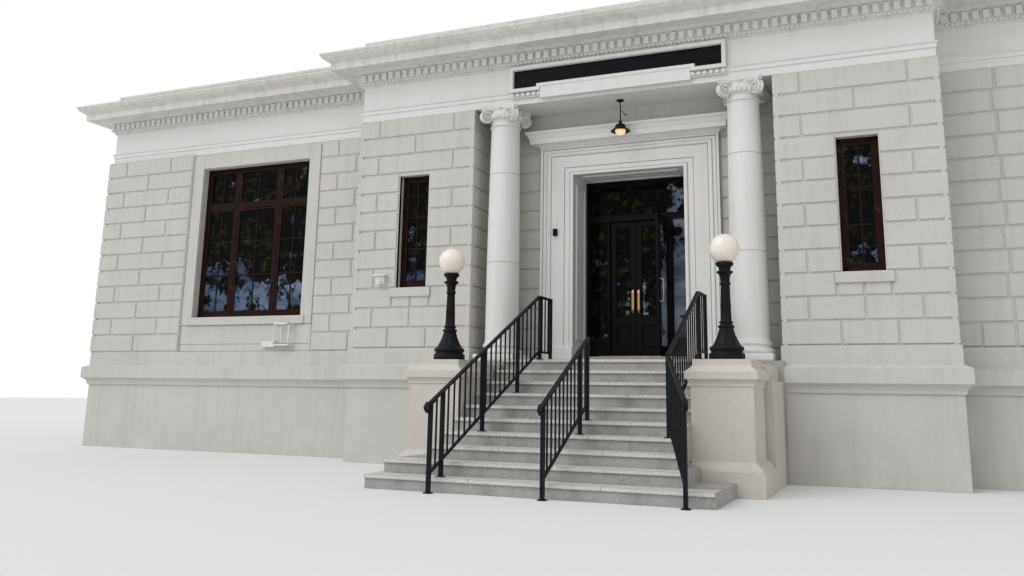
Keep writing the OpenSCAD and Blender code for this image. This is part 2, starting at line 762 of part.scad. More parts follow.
// A leaf seen from outside, its hinge edge at X = 0 and its outer face at Y = 0
module leaf(w, low_panel) {
    glass_z = low_panel ? lock_rail_z : rail_h;
    difference() {
        box(0, w, 0, leaf_t, leaf_z, leaf_z + leaf_h);
        for (y = [[-cut, (leaf_t - glass_t) / 2], [(leaf_t + glass_t) / 2, leaf_t + cut]]) {
            box(stile_w, w - stile_w, y[0], y[1], leaf_z + glass_z, leaf_z + leaf_h - stile_w);
            if (low_panel)
                box(stile_w, w - stile_w, y[0], y[1], leaf_z + rail_h, leaf_z + lock_rail_z - rail_h);
        }
    }
}

// A bow pull standing on the leaf's outer face, at a distance from the hinge edge
module pull(x, z, stand) {
    for (k = [0, pull_l - pull_foot])
        box(x - pull_w / 4, x + pull_w / 4, -stand, cut, z + k, z + k + pull_foot);
    box(x - pull_w / 2, x + pull_w / 2, -stand - pull_t, -stand + cut, z, z + pull_l);
}

// Rise of the inner pulls above the middle rail, and of the outer pull above them
pull_rise = 165;
outer_pull_rise = 110;
pull_z = landing_z + lock_rail_z + pull_rise;
pull_foot = 20;
pull_w = 26;
pull_t = 10;
inner_stand = 28;
outer_stand = 50;

module left_door() {
    color("black") translate([post_left + leaf_gap, leaf_y, 0]) {
        leaf(narrow_leaf, true);
        pull(narrow_leaf - stile_w / 2, pull_z, inner_stand);
        translate([-leaf_gap / 2, leaf_t + axis_out, 0]) moving_hinges(-axis_out - cut);
    }
}

module right_door() {
    color("black") translate([post_right - leaf_gap, leaf_y, 0]) mirror([1, 0, 0]) {
        leaf(wide_leaf, true);
        pull(wide_leaf - stile_w / 2, pull_z, inner_stand);
        translate([-leaf_gap / 2, leaf_t + axis_out, 0]) moving_hinges(-axis_out - cut);
    }
}

outer_axis_x = post_right + screen_post / 3;
outer_axis_y = screen_y - leaf_gap - leaf_t - axis_out;

// The outer leaf, hinged on the right post's face and standing open
module outer_door() {
    color("black") translate([outer_axis_x, outer_axis_y, 0]) rotate(outer_open) mirror([1, 0, 0])
        translate([leaf_gap / 2, axis_out, 0]) {
            leaf(outer_leaf, false);
            pull(outer_leaf - stile_w * 0.6, pull_z + outer_pull_rise, outer_stand);
            translate([-leaf_gap / 2, -axis_out, 0]) moving_hinges(axis_out + cut);
        }
}

// The flight: a stepped solid with nosings, and two wider steps at its foot
module stepped(first, last, x, back) {
    rotate([90, 0, 90]) translate([0, 0, -x]) linear_extrude(2 * x) polygon(concat(
        [[back, 0]],
        [for (k = [first : last]) each let(y = step_y + (k - 1) * tread, z = k * riser)
            [[y + nosing_out, (k - 1) * riser], [y + nosing_out, z - nosing_h], [y, z - nosing_h], [y, z]]],
        [[back, last * riser]]));
}

// The flight, cut out round the pedestals' base and neck mouldings
module steps() {
    base_top = ped_plinth_h + ped_mould_h;
    neck_back = ped_back + ped_corona_out;
    color("silver") difference() {
        union() {
            stepped(1, risers - 1, flight_x, -landing_y);
            stepped(1, 1, step_one_x, ped_front);
            intersection() {
                stepped(1, 2, step_two_x, ped_front);
                box(-step_two_x, step_two_right, step_y + tread - nosing_out, ped_front, 0, 2 * riser);
            }
        }
        for (s = [-1, 1]) side(s) {
            box(flight_x - ped_plinth_out, wing_x, ped_front, ped_back + ped_plinth_out, -cut, base_top);
            box(flight_x - ped_corona_out, wing_x, ped_front, neck_back, die_top, landing_z);
        }
    }
}

module pedestal() {
    corona_top = neck_top + ped_corona_h;
    base_top = ped_plinth_h + ped_mould_h;
    color("tan") moulded(flight_x, flight_x + die_w, -die_y, ped_back,
        [[ped_plinth_out, 0], [ped_plinth_out, ped_plinth_h], [ped_plinth_out - 20, ped_plinth_h],
         [ped_plinth_out * 0.75, ped_plinth_h + ped_mould_h * 0.25], [ped_plinth_out * 0.3, base_top - 30],
         [12, base_top - 12], [0, base_top], [0, die_top], [14, die_top + 6], [14, die_top + 40],
         [30, die_top + 62], [36, neck_top], [ped_corona_out, neck_top], [ped_corona_out, corona_top],
         [ped_corona_out - 22, corona_top + 16], [12, corona_top + 40], [-cap_in + 12, corona_top + 62],
         [-cap_in, corona_top + 80], [-cap_in, ped_top]], [1, 1, 1, 0.5]);
}

module cheek_wall() {
    back = ped_back + ped_plinth_out / 2;
    color("tan") {
        box(flight_x, flight_x + cheek_w, back, landing_front, 0, cheek_top);
        box(flight_x, flight_x + cheek_w + cheek_out, back, landing_front, 0, cheek_ledge);
    }
}

lamp_y = -die_y + die_d / 2;
lamp_x = flight_x + die_w / 2;

module lamp_post() {
    color("black") translate([lamp_x, lamp_y, ped_top]) rotate_extrude($fn = 72) {
        square([foot_r, post_h * 0.07]);
        translate([0, post_h * 0.07]) square([foot_r - 14, post_h * 0.03]);
        translate([0, post_h * 0.1]) square([foot_r - 7, post_h * 0.045]);
        polygon([[0, post_h * 0.145], [foot_r * 0.76, post_h * 0.145], [foot_r * 0.62, post_h * 0.2],
                 [foot_r * 0.48, post_h * 0.26], [foot_r * 0.42, post_h * 0.32], [0, post_h * 0.32]]);
        translate([0, post_h * 0.32]) square([foot_r * 0.47, post_h * 0.03]);
        polygon([[0, post_h * 0.35], [post_r, post_h * 0.35], [post_r * 0.8, post_h * 0.77],
                 [post_r * 0.8, post_h * 0.9], [0, post_h * 0.9]]);
        translate([0, post_h * 0.765]) square([post_r * 1.15, post_h * 0.025]);
        polygon([[0, post_h * 0.87], [post_r * 1.4, post_h * 0.885], [post_r * 1.5, post_h * 0.9],
                 [post_r, post_h * 0.92], [cup_r * 0.75, post_h * 0.95], [cup_r, post_h * 0.985],
                 [cup_r, post_h], [0, post_h]]);
    }
}

module globe() {
    seat = ped_top + post_h;
    mid = sqrt(pow(globe_r, 2) - pow(cup_r * 0.65, 2));
    color("ivory") translate([lamp_x, lamp_y, seat]) intersection() {
        translate([0, 0, mid]) sphere(globe_r, $fn = 72);
        cylinder(r = globe_r + cut, h = mid + globe_r + cut);
    }
}

module hanging_lamp() {
    color("black") translate([0, hanging_y, arch_z]) {
        translate([0, 0, -30]) cylinder(r = 62, h = 30);
        translate([0, 0, -stem_l]) cylinder(r = 8, h = stem_l, $fn = 24);
        translate([0, 0, -stem_l - shade_h]) cylinder(r1 = shade_r, r2 = shade_r * 0.4, h = shade_h);
        translate([0, 0, -stem_l - shade_h - bulb_h])
            cylinder(r1 = bulb_r / 2, r2 = bulb_r, h = bulb_h + cut);
    }
}

// Height of the line through the nosings at a place along Y
function slope_z(y) = riser + (y - step_y) * riser / tread;

// A bar with upright ends through points of [distance along Y, height], its middle at X = 0
module flat_bar(points, w, t) {
    rotate([90, 0, 90]) translate([0, 0, -w / 2]) linear_extrude(w) polygon(concat(
        [for (p = points) [p[0], p[1] + t / 2]],
        [for (k = [len(points) - 1 : -1 : 0]) [points[k][0], points[k][1] - t / 2]]));
}

module upright(p, w, z0, z1) {
    box(p[0] - w / 2, p[0] + w / 2, p[1] - w / 2, p[1] + w / 2, z0, z1);
}

// One straight length of railing in plan, from the lower end to the upper. The handrail's lower
// end can stand above the slope.
module rail_length(low, high, lift = 0) {
    flat = high - low;
    span = norm(flat);
    count = floor(span / baluster_step);
    z0 = slope_z(low[1]);
    z1 = slope_z(high[1]);
    translate([low[0], low[1], 0]) rotate(-atan2(flat[0], flat[1])) {
        flat_bar([[0, z0 + hand_h + lift], [span, z1 + hand_h]], hand_w, hand_t);
        flat_bar([[0, z0 + low_bar_h], [span, z1 + low_bar_h]], low_bar_w, hand_t);
        for (k = [1 : count - 1]) let(z = z0 + (z1 - z0) * k / count)
            upright([0, span * k / count], baluster_w, z + low_bar_h,
                    z + hand_h + lift * (1 - k / count));
    }
}

// The level length at the head of the flight, with its two posts
module level_length(x) {
    z = slope_z(head_y);
    translate([x, head_y, z]) {
        flat_bar([[-level_lap, hand_h], [level_l, hand_h]], hand_w, hand_t);
        flat_bar([[-level_lap, low_bar_h], [level_l, low_bar_h]], low_bar_w, hand_t);
        for (k = [1 : 3]) upright([0, level_l * k / 4], baluster_w, low_bar_h, hand_h);
    }
    for (y = [head_y + rail_post, head_y + level_l - rail_post / 2]) post([x, y], z + hand_h);
}

// Height of the tread or paving below a place along Y
function tread_z(y) = y < step_y ? 0 : riser * min(risers, 1 + floor((y - step_y) / tread));

module post(p, top) {
    upright(p, rail_post, tread_z(p[1]), top);
    upright(p, 2 * rail_post, tread_z(p[1]), tread_z(p[1]) + 12);
}

// Distance of the railings' feet in front of the first riser
foot_set = 80;
foot_y = step_y - rail_post - foot_set;
head_y = -landing_y - nosing_out;
bend_y = step_y + 3.15 * tread;
centre_head_y = step_y + 4.65 * tread;
level_lap = 5;

// The left railing runs in towards its head
module left_rail() {
    low = [-left_foot_x, foot_y];
    high = [-left_rail_x, head_y];
    color("black") {
        rail_length(low, high);
        for (y = [foot_y, step_y + 0.45 * tread, step_y + 3.6 * tread, step_y + 6.75 * tread])
            post(low + (high - low) * (y - foot_y) / (head_y - foot_y), slope_z(y) + hand_h);
        level_length(-left_rail_x);
    }
}

module centre_rail() {
    color("black") {
        rail_length([centre_rail_x, foot_y], [centre_rail_x, centre_head_y]);
        for (y = [foot_y, step_y + 3.6 * tread, centre_head_y - rail_post])
            post([centre_rail_x, y], slope_z(y) + hand_h);
    }
}

module right_rail() {
    bend = [right_rail_x, bend_y];
    color("black") {
        rail_length(bend, [right_rail_x, head_y]);
        post(bend, slope_z(bend_y) + hand_h);
        translate([bend[0], bend[1], slope_z(bend_y) + hand_h])
            cylinder(r = hand_w / 2 + 2, h = hand_t + 4, center = true, $fn = 32);
        level_length(right_rail_x);
    }
}

// The lower length of the right railing, which runs out to its foot
module right_rail_splay() {
    low = [right_foot_x, foot_y];
    color("black") difference() {
        union() {
            rail_length(low, [right_rail_x, bend_y], right_foot_lift);
            post(low, slope_z(foot_y) + hand_h + right_foot_lift);
        }
        right_rail();
    }
}

module pier_windows() {
    for (s = [-1, 1]) color("saddlebrown") side(s)
        translate([(recess_x + pavilion_x) / 2, 0, 0]) pier_window();
}
module wing_windows() {
    for (s = [-1, 1]) color("saddlebrown") side(s) translate([wing_win_x, wing_y, 0]) wing_window();
}
module side_windows() { for (s = [-1, 1]) color("saddlebrown") side(-s) side_places() wing_window(); }
module rear_windows() { color("saddlebrown") rear_places() wing_window(); }

side(-1) pier();  // left_pier
side(1) pier();  // right_pier
side(-1) portico_wall();  // portico_wall_left
side(1) portico_wall();  // portico_wall_right
portico_wall_over();
side(-1) wing_wall();  // left_wing_wall
side(1) wing_wall();  // right_wing_wall
side(-1) side_wall();  // left_side_wall
side(1) side_wall();  // right_side_wall
rear_wall();
hall_floor();
portico_floor();
portico_ceiling();
roof_slab();
front_entablature();
side(-1) side_entablature();  // left_entablature
side(1) side_entablature();  // right_entablature
rear_entablature();
pavilion_cornice();
side(-1) wing_cornice();  // left_wing_cornice
side(1) wing_cornice();  // right_wing_cornice
side(-1) side_cornice();  // left_cornice
side(1) side_cornice();  // right_cornice
rear_cornice();
sign_frame();
sign_panel();
side(-1) column();  // left_column
side(1) column();  // right_column
side(-1) capital();  // left_capital
side(1) capital();  // right_capital
door_surround();
door_reveal();
door_sill();
door_screen();
left_door();
right_door();
outer_door();
steps();
side(-1) pedestal();  // left_pedestal
side(1) pedestal();  // right_pedestal
side(-1) cheek_wall();  // left_cheek_wall
side(1) cheek_wall();  // right_cheek_wall
side(-1) lamp_post();  // left_lamp_post
side(1) lamp_post();  // right_lamp_post
side(-1) globe();  // left_globe
side(1) globe();  // right_globe
left_rail();
centre_rail();
right_rail();
right_rail_splay();
hanging_lamp();
pier_windows();
wing_windows();
side_windows();
rear_windows();
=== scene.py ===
"""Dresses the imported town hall: channelled stonework, carved capitals, windows, entrance, steps and lamps."""
import json
import logging
import math
from dataclasses import dataclass
from enum import Enum
from typing import Callable, Iterable, Sequence

import bmesh
import bpy
from mathutils import Matrix, Vector

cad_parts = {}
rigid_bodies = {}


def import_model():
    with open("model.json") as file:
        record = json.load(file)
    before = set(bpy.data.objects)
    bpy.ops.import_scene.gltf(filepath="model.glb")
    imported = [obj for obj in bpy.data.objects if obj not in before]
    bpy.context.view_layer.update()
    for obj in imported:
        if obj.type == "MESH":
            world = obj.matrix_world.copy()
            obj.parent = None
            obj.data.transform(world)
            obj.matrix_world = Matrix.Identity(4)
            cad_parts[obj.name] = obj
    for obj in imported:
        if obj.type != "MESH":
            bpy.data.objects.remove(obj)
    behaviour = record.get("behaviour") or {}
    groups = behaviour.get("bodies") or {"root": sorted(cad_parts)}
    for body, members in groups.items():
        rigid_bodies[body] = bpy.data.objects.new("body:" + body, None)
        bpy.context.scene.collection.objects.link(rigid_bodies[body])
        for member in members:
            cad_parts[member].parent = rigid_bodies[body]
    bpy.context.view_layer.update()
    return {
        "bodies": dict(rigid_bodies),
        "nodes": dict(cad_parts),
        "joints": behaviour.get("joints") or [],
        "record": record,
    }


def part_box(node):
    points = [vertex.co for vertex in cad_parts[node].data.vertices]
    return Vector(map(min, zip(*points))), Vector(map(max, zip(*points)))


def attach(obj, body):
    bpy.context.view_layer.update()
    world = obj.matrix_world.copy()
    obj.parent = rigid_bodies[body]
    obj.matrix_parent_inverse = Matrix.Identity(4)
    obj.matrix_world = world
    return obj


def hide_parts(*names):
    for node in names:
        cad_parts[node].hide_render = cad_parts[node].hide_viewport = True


LOG = logging.getLogger("town_hall")
BUILDING = "building"
Object = bpy.types.Object
Socket = bpy.types.NodeSocket
Outputs = bpy.types.NodeOutputs
Point = tuple[float, float]
Place = tuple[float, float, float]
Colour = tuple[float, float, float, float]
Profile = Sequence[Point]


def srgb(red: int, green: int, blue: int) -> Colour:
    """Turns a colour as seen on a screen, 0 to 255 each, into Blender's linear one."""
    linear = [(c / 255 / 12.92) if c < 11 else ((c / 255 + 0.055) / 1.055) ** 2.4 for c in (red, green, blue)]
    return (linear[0], linear[1], linear[2], 1.0)


def at(x: float, y: float = 0.0, z: float = 0.0) -> Matrix:
    """Returns a shift along the three axes."""
    return Matrix.Translation((x, y, z))


def turned(degrees: float) -> Matrix:
    """Returns a turn about the upright axis."""
    return Matrix.Rotation(math.radians(degrees), 4, "Z")


MIRROR = Matrix.Scale(-1, 4, (1, 0, 0))


class Slot(Enum):
    """The record's material slots."""

    STUCCO = "stucco"
    TRIM = "trim"
    GRANITE_BEIGE = "granite_beige"
    GRANITE_GREY = "granite_grey"
    ROOFING = "roofing"
    HALL_FLOOR = "hall_floor"
    BLACK_IRON = "black_iron"
    BLACK_PAINT = "black_paint"
    DARK_WOOD = "dark_wood"
    OPAL_GLASS = "opal_glass"


@dataclass(frozen=True)
class Plan:
    """Where the walls stand, as in the CAD model."""

    pavilion_x: float = 4.655
    side_x: float = 11.378
    wing_y: float = 0.757
    rear_y: float = 12.757


PLAN = Plan()


@dataclass(frozen=True)
class PhotoCamera:
    """The camera that the photograph was taken with, solved from the building's own lines."""

    place: Place = (4.0083, -13.1356, 1.1223)
    yaw: float = -0.4003
    pitch: float = 0.1964
    roll: float = 0.0157
    focal_px: float = 902.48
    centre_px: Point = (522.16, 215.94)
    image_px: tuple[int, int] = (1024, 576)
    sensor_mm: float = 36.0
    sight: float = 400.0

    def build(self) -> None:
        """Makes the camera and gives it to the scene."""
        ahead = Vector((math.sin(self.yaw) * math.cos(self.pitch), math.cos(self.yaw) * math.cos(self.pitch),
                        math.sin(self.pitch)))
        level = Vector((math.cos(self.yaw), -math.sin(self.yaw), 0))
        upright = level.cross(ahead)
        right = math.cos(self.roll) * level + math.sin(self.roll) * upright
        up = math.cos(self.roll) * upright - math.sin(self.roll) * level
        width, height = self.image_px
        data = bpy.data.cameras.new("photo_camera")
        data.sensor_width = self.sensor_mm
        data.lens = self.focal_px / width * self.sensor_mm
        data.shift_x = (width / 2 - self.centre_px[0]) / width
        data.shift_y = (self.centre_px[1] - height / 2) / width
        data.clip_end = self.sight
        camera = bpy.data.objects.new("photo_camera", data)
        camera.matrix_world = at(*self.place) @ Matrix((right, up, -ahead)).transposed().to_4x4()
        bpy.context.scene.collection.objects.link(camera)
        bpy.context.scene.camera = camera


class Graph:
    """Adds nodes to a node tree, a line each."""

    def __init__(self, tree: bpy.types.NodeTree) -> None:
        """Keeps the tree that the nodes go into."""
        self.tree = tree

    def add(self, kind: str, inputs: dict | None = None, **settings: object) -> bpy.types.Node:
        """Adds one node.

        Args:
            kind: The node's type without its ShaderNode prefix.
            inputs: Values or output sockets by input name or number.
            settings: Properties of the node.

        Returns:
            The new node.
        """
        node = self.tree.nodes.new("ShaderNode" + kind)
        for key, value in settings.items():
            setattr(node, key, value)
        for key, value in (inputs or {}).items():
            self.put(node, key, value)
        return node

    def put(self, node: bpy.types.Node, key: str | int, value: object) -> None:
        """Links an output socket to an input, or sets the input's value.

        Args:
            node: The node with the input.
            key: The input's name or number.
            value: An output socket or a plain value.
        """
        if isinstance(value, Socket):
            self.tree.links.new(value, node.inputs[key])
        else:
            node.inputs[key].default_value = value

    def noise(self, where: Socket, scale: float | Socket, detail: float = 3.0, rough: float = 0.55) -> Socket:
        """Returns the factor of a noise texture."""
        inputs = {"Vector": where, "Scale": scale, "Detail": detail, "Roughness": rough}
        return self.add("TexNoise", inputs).outputs[0]

    def stretched(self, where: Socket, scale: Place) -> Socket:
        """Returns coordinates scaled along each axis."""
        return self.add("Mapping", {"Vector": where, "Scale": scale}).outputs[0]

    def remap(self, value: Socket, low: float, high: float, start: float = 0.0, end: float = 1.0) -> Socket:
        """Returns a value spread from one range to another, held at its ends."""
        inputs = {"Value": value, "From Min": low, "From Max": high, "To Min": start, "To Max": end}
        return self.add("MapRange", inputs).outputs[0]

    def mix(self, share: Socket | float, first: object, second: object, blend: str = "MIX") -> Socket:
        """Mixes two colours.

        Args:
            share: How much of the second one there is.
            first: The first colour or its socket.
            second: The second colour or its socket.
            blend: The way of blending.

        Returns:
            The mixed colour.
        """
        node = self.add("Mix", data_type="RGBA", blend_type=blend)
        for key, value in ((0, share), (6, first), (7, second)):
            self.put(node, key, value)
        return node.outputs[2]

    def times(self, first: Socket | float, second: Socket | float, how: str = "MULTIPLY") -> Socket:
        """Returns the product of two values, or what another operation makes of them."""
        return self.add("Math", {0: first, 1: second}, operation=how).outputs[0]


class Effect:
    """A look that several materials share, kept as a node group that is built once."""

    name = "effect"
    values: dict[str, float] = {}

    @classmethod
    def group(cls) -> bpy.types.NodeTree:
        """Builds the node group at its first use.

        Returns:
            The node group.
        """
        if cls.name in bpy.data.node_groups:
            return bpy.data.node_groups[cls.name]
        tree = bpy.data.node_groups.new(cls.name, "ShaderNodeTree")
        tree.interface.new_socket("Color", in_out="INPUT", socket_type="NodeSocketColor")
        for key, value in cls.values.items():
            socket = tree.interface.new_socket(key, in_out="INPUT", socket_type="NodeSocketFloat")
            socket.default_value = value
        tree.interface.new_socket("Color", in_out="OUTPUT", socket_type="NodeSocketColor")
        tree.interface.new_socket("Height", in_out="OUTPUT", socket_type="NodeSocketFloat")
        graph = Graph(tree)
        where = graph.add("TexCoord").outputs["Object"]
        source = tree.nodes.new("NodeGroupInput")
        sink = tree.nodes.new("NodeGroupOutput")
        colour, height = cls.wire(graph, where, source.outputs)
        tree.links.new(colour, sink.inputs["Color"])
        tree.links.new(height, sink.inputs["Height"])
        return tree

    @classmethod
    def wire(cls, graph: Graph, where: Socket, given: Outputs) -> tuple[Socket, Socket]:
        """Wires the group's inside and returns its colour and its height."""
        raise NotImplementedError


class Weather(Effect):
    """Rain streaks, soft blotches, splashes near the ground and the fine grain of a painted wall."""

    name = "weather"
    values = {"Streaks": 0.3, "Blotches": 0.3, "Grime": 0.3, "Grain": 60.0}
    streak_tone = srgb(112, 108, 98)
    blotch_tone = srgb(158, 155, 146)
    grime_tone = srgb(104, 98, 84)
    pore_tone = srgb(120, 118, 112)
    splash_height = 1.3

    @classmethod
    def wire(cls, graph: Graph, where: Socket, given: Outputs) -> tuple[Socket, Socket]:
        """Lays streaks, blotches and splashes over the paint and grains it.

        Args:
            graph: The group's node tree.
            where: The coordinates.
            given: The group's inputs.

        Returns:
            The colour and the height.
        """
        drip = graph.noise(graph.stretched(where, (5.0, 5.0, 0.35)), 1.6, detail=5.0, rough=0.65)
        streak = graph.times(graph.remap(drip, 0.48, 0.78), given["Streaks"])
        patch = graph.noise(where, 0.7, detail=4.0, rough=0.6)
        blotch = graph.times(graph.remap(patch, 0.42, 0.72), given["Blotches"])
        height = graph.add("SeparateXYZ", {0: where}).outputs[2]
        drops = graph.remap(graph.noise(where, 3.0, detail=5.0), 0.3, 0.7)
        splash = graph.times(graph.remap(height, 0.0, cls.splash_height, 1.0, 0.0), drops)
        tone = graph.mix(streak, given["Color"], cls.streak_tone)
        tone = graph.mix(blotch, tone, cls.blotch_tone)
        tone = graph.mix(graph.times(splash, given["Grime"]), tone, cls.grime_tone)
        grain = graph.noise(where, given["Grain"], detail=6.0, rough=0.7)
        tone = graph.mix(graph.remap(grain, 0.3, 0.75, 0.0, 0.16), tone, cls.pore_tone, "MULTIPLY")
        coarse = graph.noise(where, graph.times(given["Grain"], 0.12))
        return tone, graph.times(grain, graph.times(coarse, 0.6), "ADD")


class Speckle(Effect):
    """The crystals of granite, with stains on top."""

    name = "speckle"
    values = {"Crystals": 120.0, "Flecks": 0.3, "Stains": 0.4}
    dark_fleck = srgb(70, 68, 66)
    pale_fleck = srgb(226, 221, 213)
    stain_tone = srgb(62, 60, 56)

    @classmethod
    def wire(cls, graph: Graph, where: Socket, given: Outputs) -> tuple[Socket, Socket]:
        """Scatters dark and pale crystals and washes stains over them.

        Args:
            graph: The group's node tree.
            where: The coordinates.
            given: The group's inputs.

        Returns:
            The colour and the height.
        """
        cell = graph.add("TexVoronoi", {"Vector": where, "Scale": given["Crystals"]})
        fleck = graph.remap(cell.outputs["Color"], 0.25, 0.8)
        tone = graph.mix(graph.times(fleck, given["Flecks"]), given["Color"], cls.dark_fleck)
        pale = graph.noise(where, given["Crystals"], detail=2.0)
        tone = graph.mix(graph.times(graph.remap(pale, 0.58, 0.72), given["Flecks"]), tone, cls.pale_fleck)
        wash = graph.noise(graph.stretched(where, (1.0, 1.0, 0.6)), 2.6, detail=6.0, rough=0.65)
        tone = graph.mix(graph.times(graph.remap(wash, 0.45, 0.75), given["Stains"]), tone, cls.stain_tone)
        return tone, graph.times(pale, graph.times(wash, 0.8), "ADD")


class Fibre(Effect):
    """The grain of varnished wood, or the brush marks of a painted metal."""

    name = "fibre"
    values = {"Depth": 0.3, "Scale": 8.0}
    strand_tone = srgb(16, 12, 10)
    worn_tone = srgb(118, 106, 94)

    @classmethod
    def wire(cls, graph: Graph, where: Socket, given: Outputs) -> tuple[Socket, Socket]:
        """Draws upright strands and rubs them pale in places.

        Args:
            graph: The group's node tree.
            where: The coordinates.
            given: The group's inputs.

        Returns:
            The colour and the height.
        """
        strand = graph.noise(graph.stretched(where, (6.0, 6.0, 0.5)), given["Scale"], detail=5.0, rough=0.7)
        wear = graph.noise(where, given["Scale"], detail=4.0, rough=0.6)
        dark = graph.times(graph.remap(strand, 0.35, 0.7), given["Depth"])
        worn = graph.times(graph.remap(wear, 0.6, 0.8), given["Depth"])
        return graph.mix(worn, graph.mix(dark, given["Color"], cls.strand_tone), cls.worn_tone), strand


@dataclass(frozen=True)
class Finish:
    """A surface finish: one effect with its values, and the shader's own plain values."""

    name: str
    colour: Colour
    effect: type[Effect] = Weather
    values: tuple[tuple[str, float], ...] = ()
    bump: float = 0.2
    depth: float = 0.002
    roughness: float = 0.7
    gloss: tuple[tuple[str, object], ...] = ()
    relief: Point = (0.3, 1.2)
    polish: Point = (0.88, 1.1)

    def material(self) -> bpy.types.Material:
        """Builds the material at its first use.

        Returns:
            The material.
        """
        if self.name in bpy.data.materials:
            return bpy.data.materials[self.name]
        made = bpy.data.materials.new(self.name)
        made.use_nodes = True
        shader = made.node_tree.nodes["Principled BSDF"]
        self.wire(Graph(made.node_tree), shader)
        for key, value in self.gloss:
            shader.inputs[key].default_value = value
        return made

    def wire(self, graph: Graph, shader: bpy.types.Node) -> None:
        """Feeds the effect's colour and height to the shader.

        Args:
            graph: The material's node tree.
            shader: Its Principled BSDF.
        """
        group = graph.add("Group")
        group.node_tree = self.effect.group()
        group.inputs["Color"].default_value = self.colour
        for key, value in self.values:
            group.inputs[key].default_value = value
        height = group.outputs["Height"]
        smooth, coarse = (self.roughness * share for share in self.polish)
        graph.put(shader, "Base Color", group.outputs["Color"])
        graph.put(shader, "Roughness", graph.remap(height, *self.relief, smooth, min(1.0, coarse)))
        bump = graph.add("Bump", {"Height": height, "Strength": self.bump, "Distance": self.depth})
        graph.put(shader, "Normal", bump.outputs[0])


@dataclass(frozen=True)
class Glazing(Finish):
    """Window glass painted with a reflection of a cloudy sky and dark trees, over painted shade for the dark
    room behind the opaque pane.
    """

    # The pane's own colour is painted shade for the unlit room behind it; the sky and leaf colours are a
    # painted reflection, and the shares and ranges below paint more sky reflection low down and to the right.
    tree_reflection_cover: float = 0.60
    right_sky_reflection: float = 0.0
    sky: tuple[tuple[int, int, int], ...] = ((58, 72, 98), (118, 132, 156))
    leaf: tuple[int, int, int] = (50, 48, 26)
    edge: float = 0.06
    right_reflection_x: Point = (0.25, 0.6)
    low_reflection_z: Point = (2.8, 4.0)

    def wire(self, graph: Graph, shader: bpy.types.Node) -> None:
        """Feeds the painted reflection of the sky and the trees, and the pane's slight wave, to the shader.

        Args:
            graph: The material's node tree.
            shader: Its Principled BSDF.
        """
        where = graph.add("TexCoord").outputs["Object"]
        # Painted reflection: clouds of the sky, broken by reflected trees.
        cloud = graph.noise(graph.stretched(where, (0.5, 0.5, 1.3)), 1.5, detail=4.0, rough=0.6)
        tree = graph.noise(where, 2.4, detail=8.0, rough=0.72)
        sky = graph.mix(graph.remap(cloud, 0.4, 0.65), srgb(*self.sky[0]), srgb(*self.sky[1]))
        x, _, z = graph.add("SeparateXYZ", {0: where}).outputs
        # Painted reflection of open sky, stronger low on the pane and towards its right side.
        low = graph.remap(z, *self.low_reflection_z, 0.16, -0.02)
        sky_reflection_mask = graph.times(low, graph.remap(x, *self.right_reflection_x, 0.0, self.right_sky_reflection), "ADD")
        gap = graph.remap(graph.times(tree, sky_reflection_mask, "ADD"), self.tree_reflection_cover, self.tree_reflection_cover + self.edge)
        # Painted reflection of twigs and leaves over the painted shade of the room.
        reflected_twig = graph.remap(graph.noise(where, 7.0, detail=6.0, rough=0.7), 0.52, 0.66, 0.0, 0.7)
        dark = graph.mix(reflected_twig, self.colour, srgb(*self.leaf))
        graph.put(shader, "Base Color", graph.mix(gap, dark, sky))
        wave = graph.add("Bump", {"Height": graph.noise(where, 1.7, 1.0), "Strength": 0.15, "Distance": 0.02})
        graph.put(shader, "Normal", wave.outputs[0])
        graph.put(shader, "Roughness", self.roughness)


STUCCO = Finish(
    "painted_render", srgb(207, 205, 200), Weather,
    (("Streaks", 0.16), ("Blotches", 0.16), ("Grime", 0.14), ("Grain", 55.0)),
    bump=0.22, depth=0.003, roughness=0.78)
TRIM = Finish(
    "painted_trim", srgb(230, 229, 227), Weather,
    (("Streaks", 0.10), ("Blotches", 0.08), ("Grime", 0.05), ("Grain", 90.0)),
    bump=0.12, depth=0.002, roughness=0.6)
CORNICE = Finish(
    "streaked_cornice", srgb(226, 224, 219), Weather,
    (("Streaks", 0.34), ("Blotches", 0.16), ("Grime", 0.0), ("Grain", 60.0)),
    bump=0.2, depth=0.003, roughness=0.75)
BEIGE_GRANITE = Finish(
    "beige_granite", srgb(209, 204, 196), Speckle, (("Crystals", 150.0), ("Flecks", 0.15), ("Stains", 0.12)),
    bump=0.3, depth=0.002, roughness=0.7)
GREY_GRANITE = Finish(
    "grey_granite", srgb(174, 172, 169), Speckle, (("Crystals", 120.0), ("Stains", 0.46)),
    bump=0.25, depth=0.003, roughness=0.6)
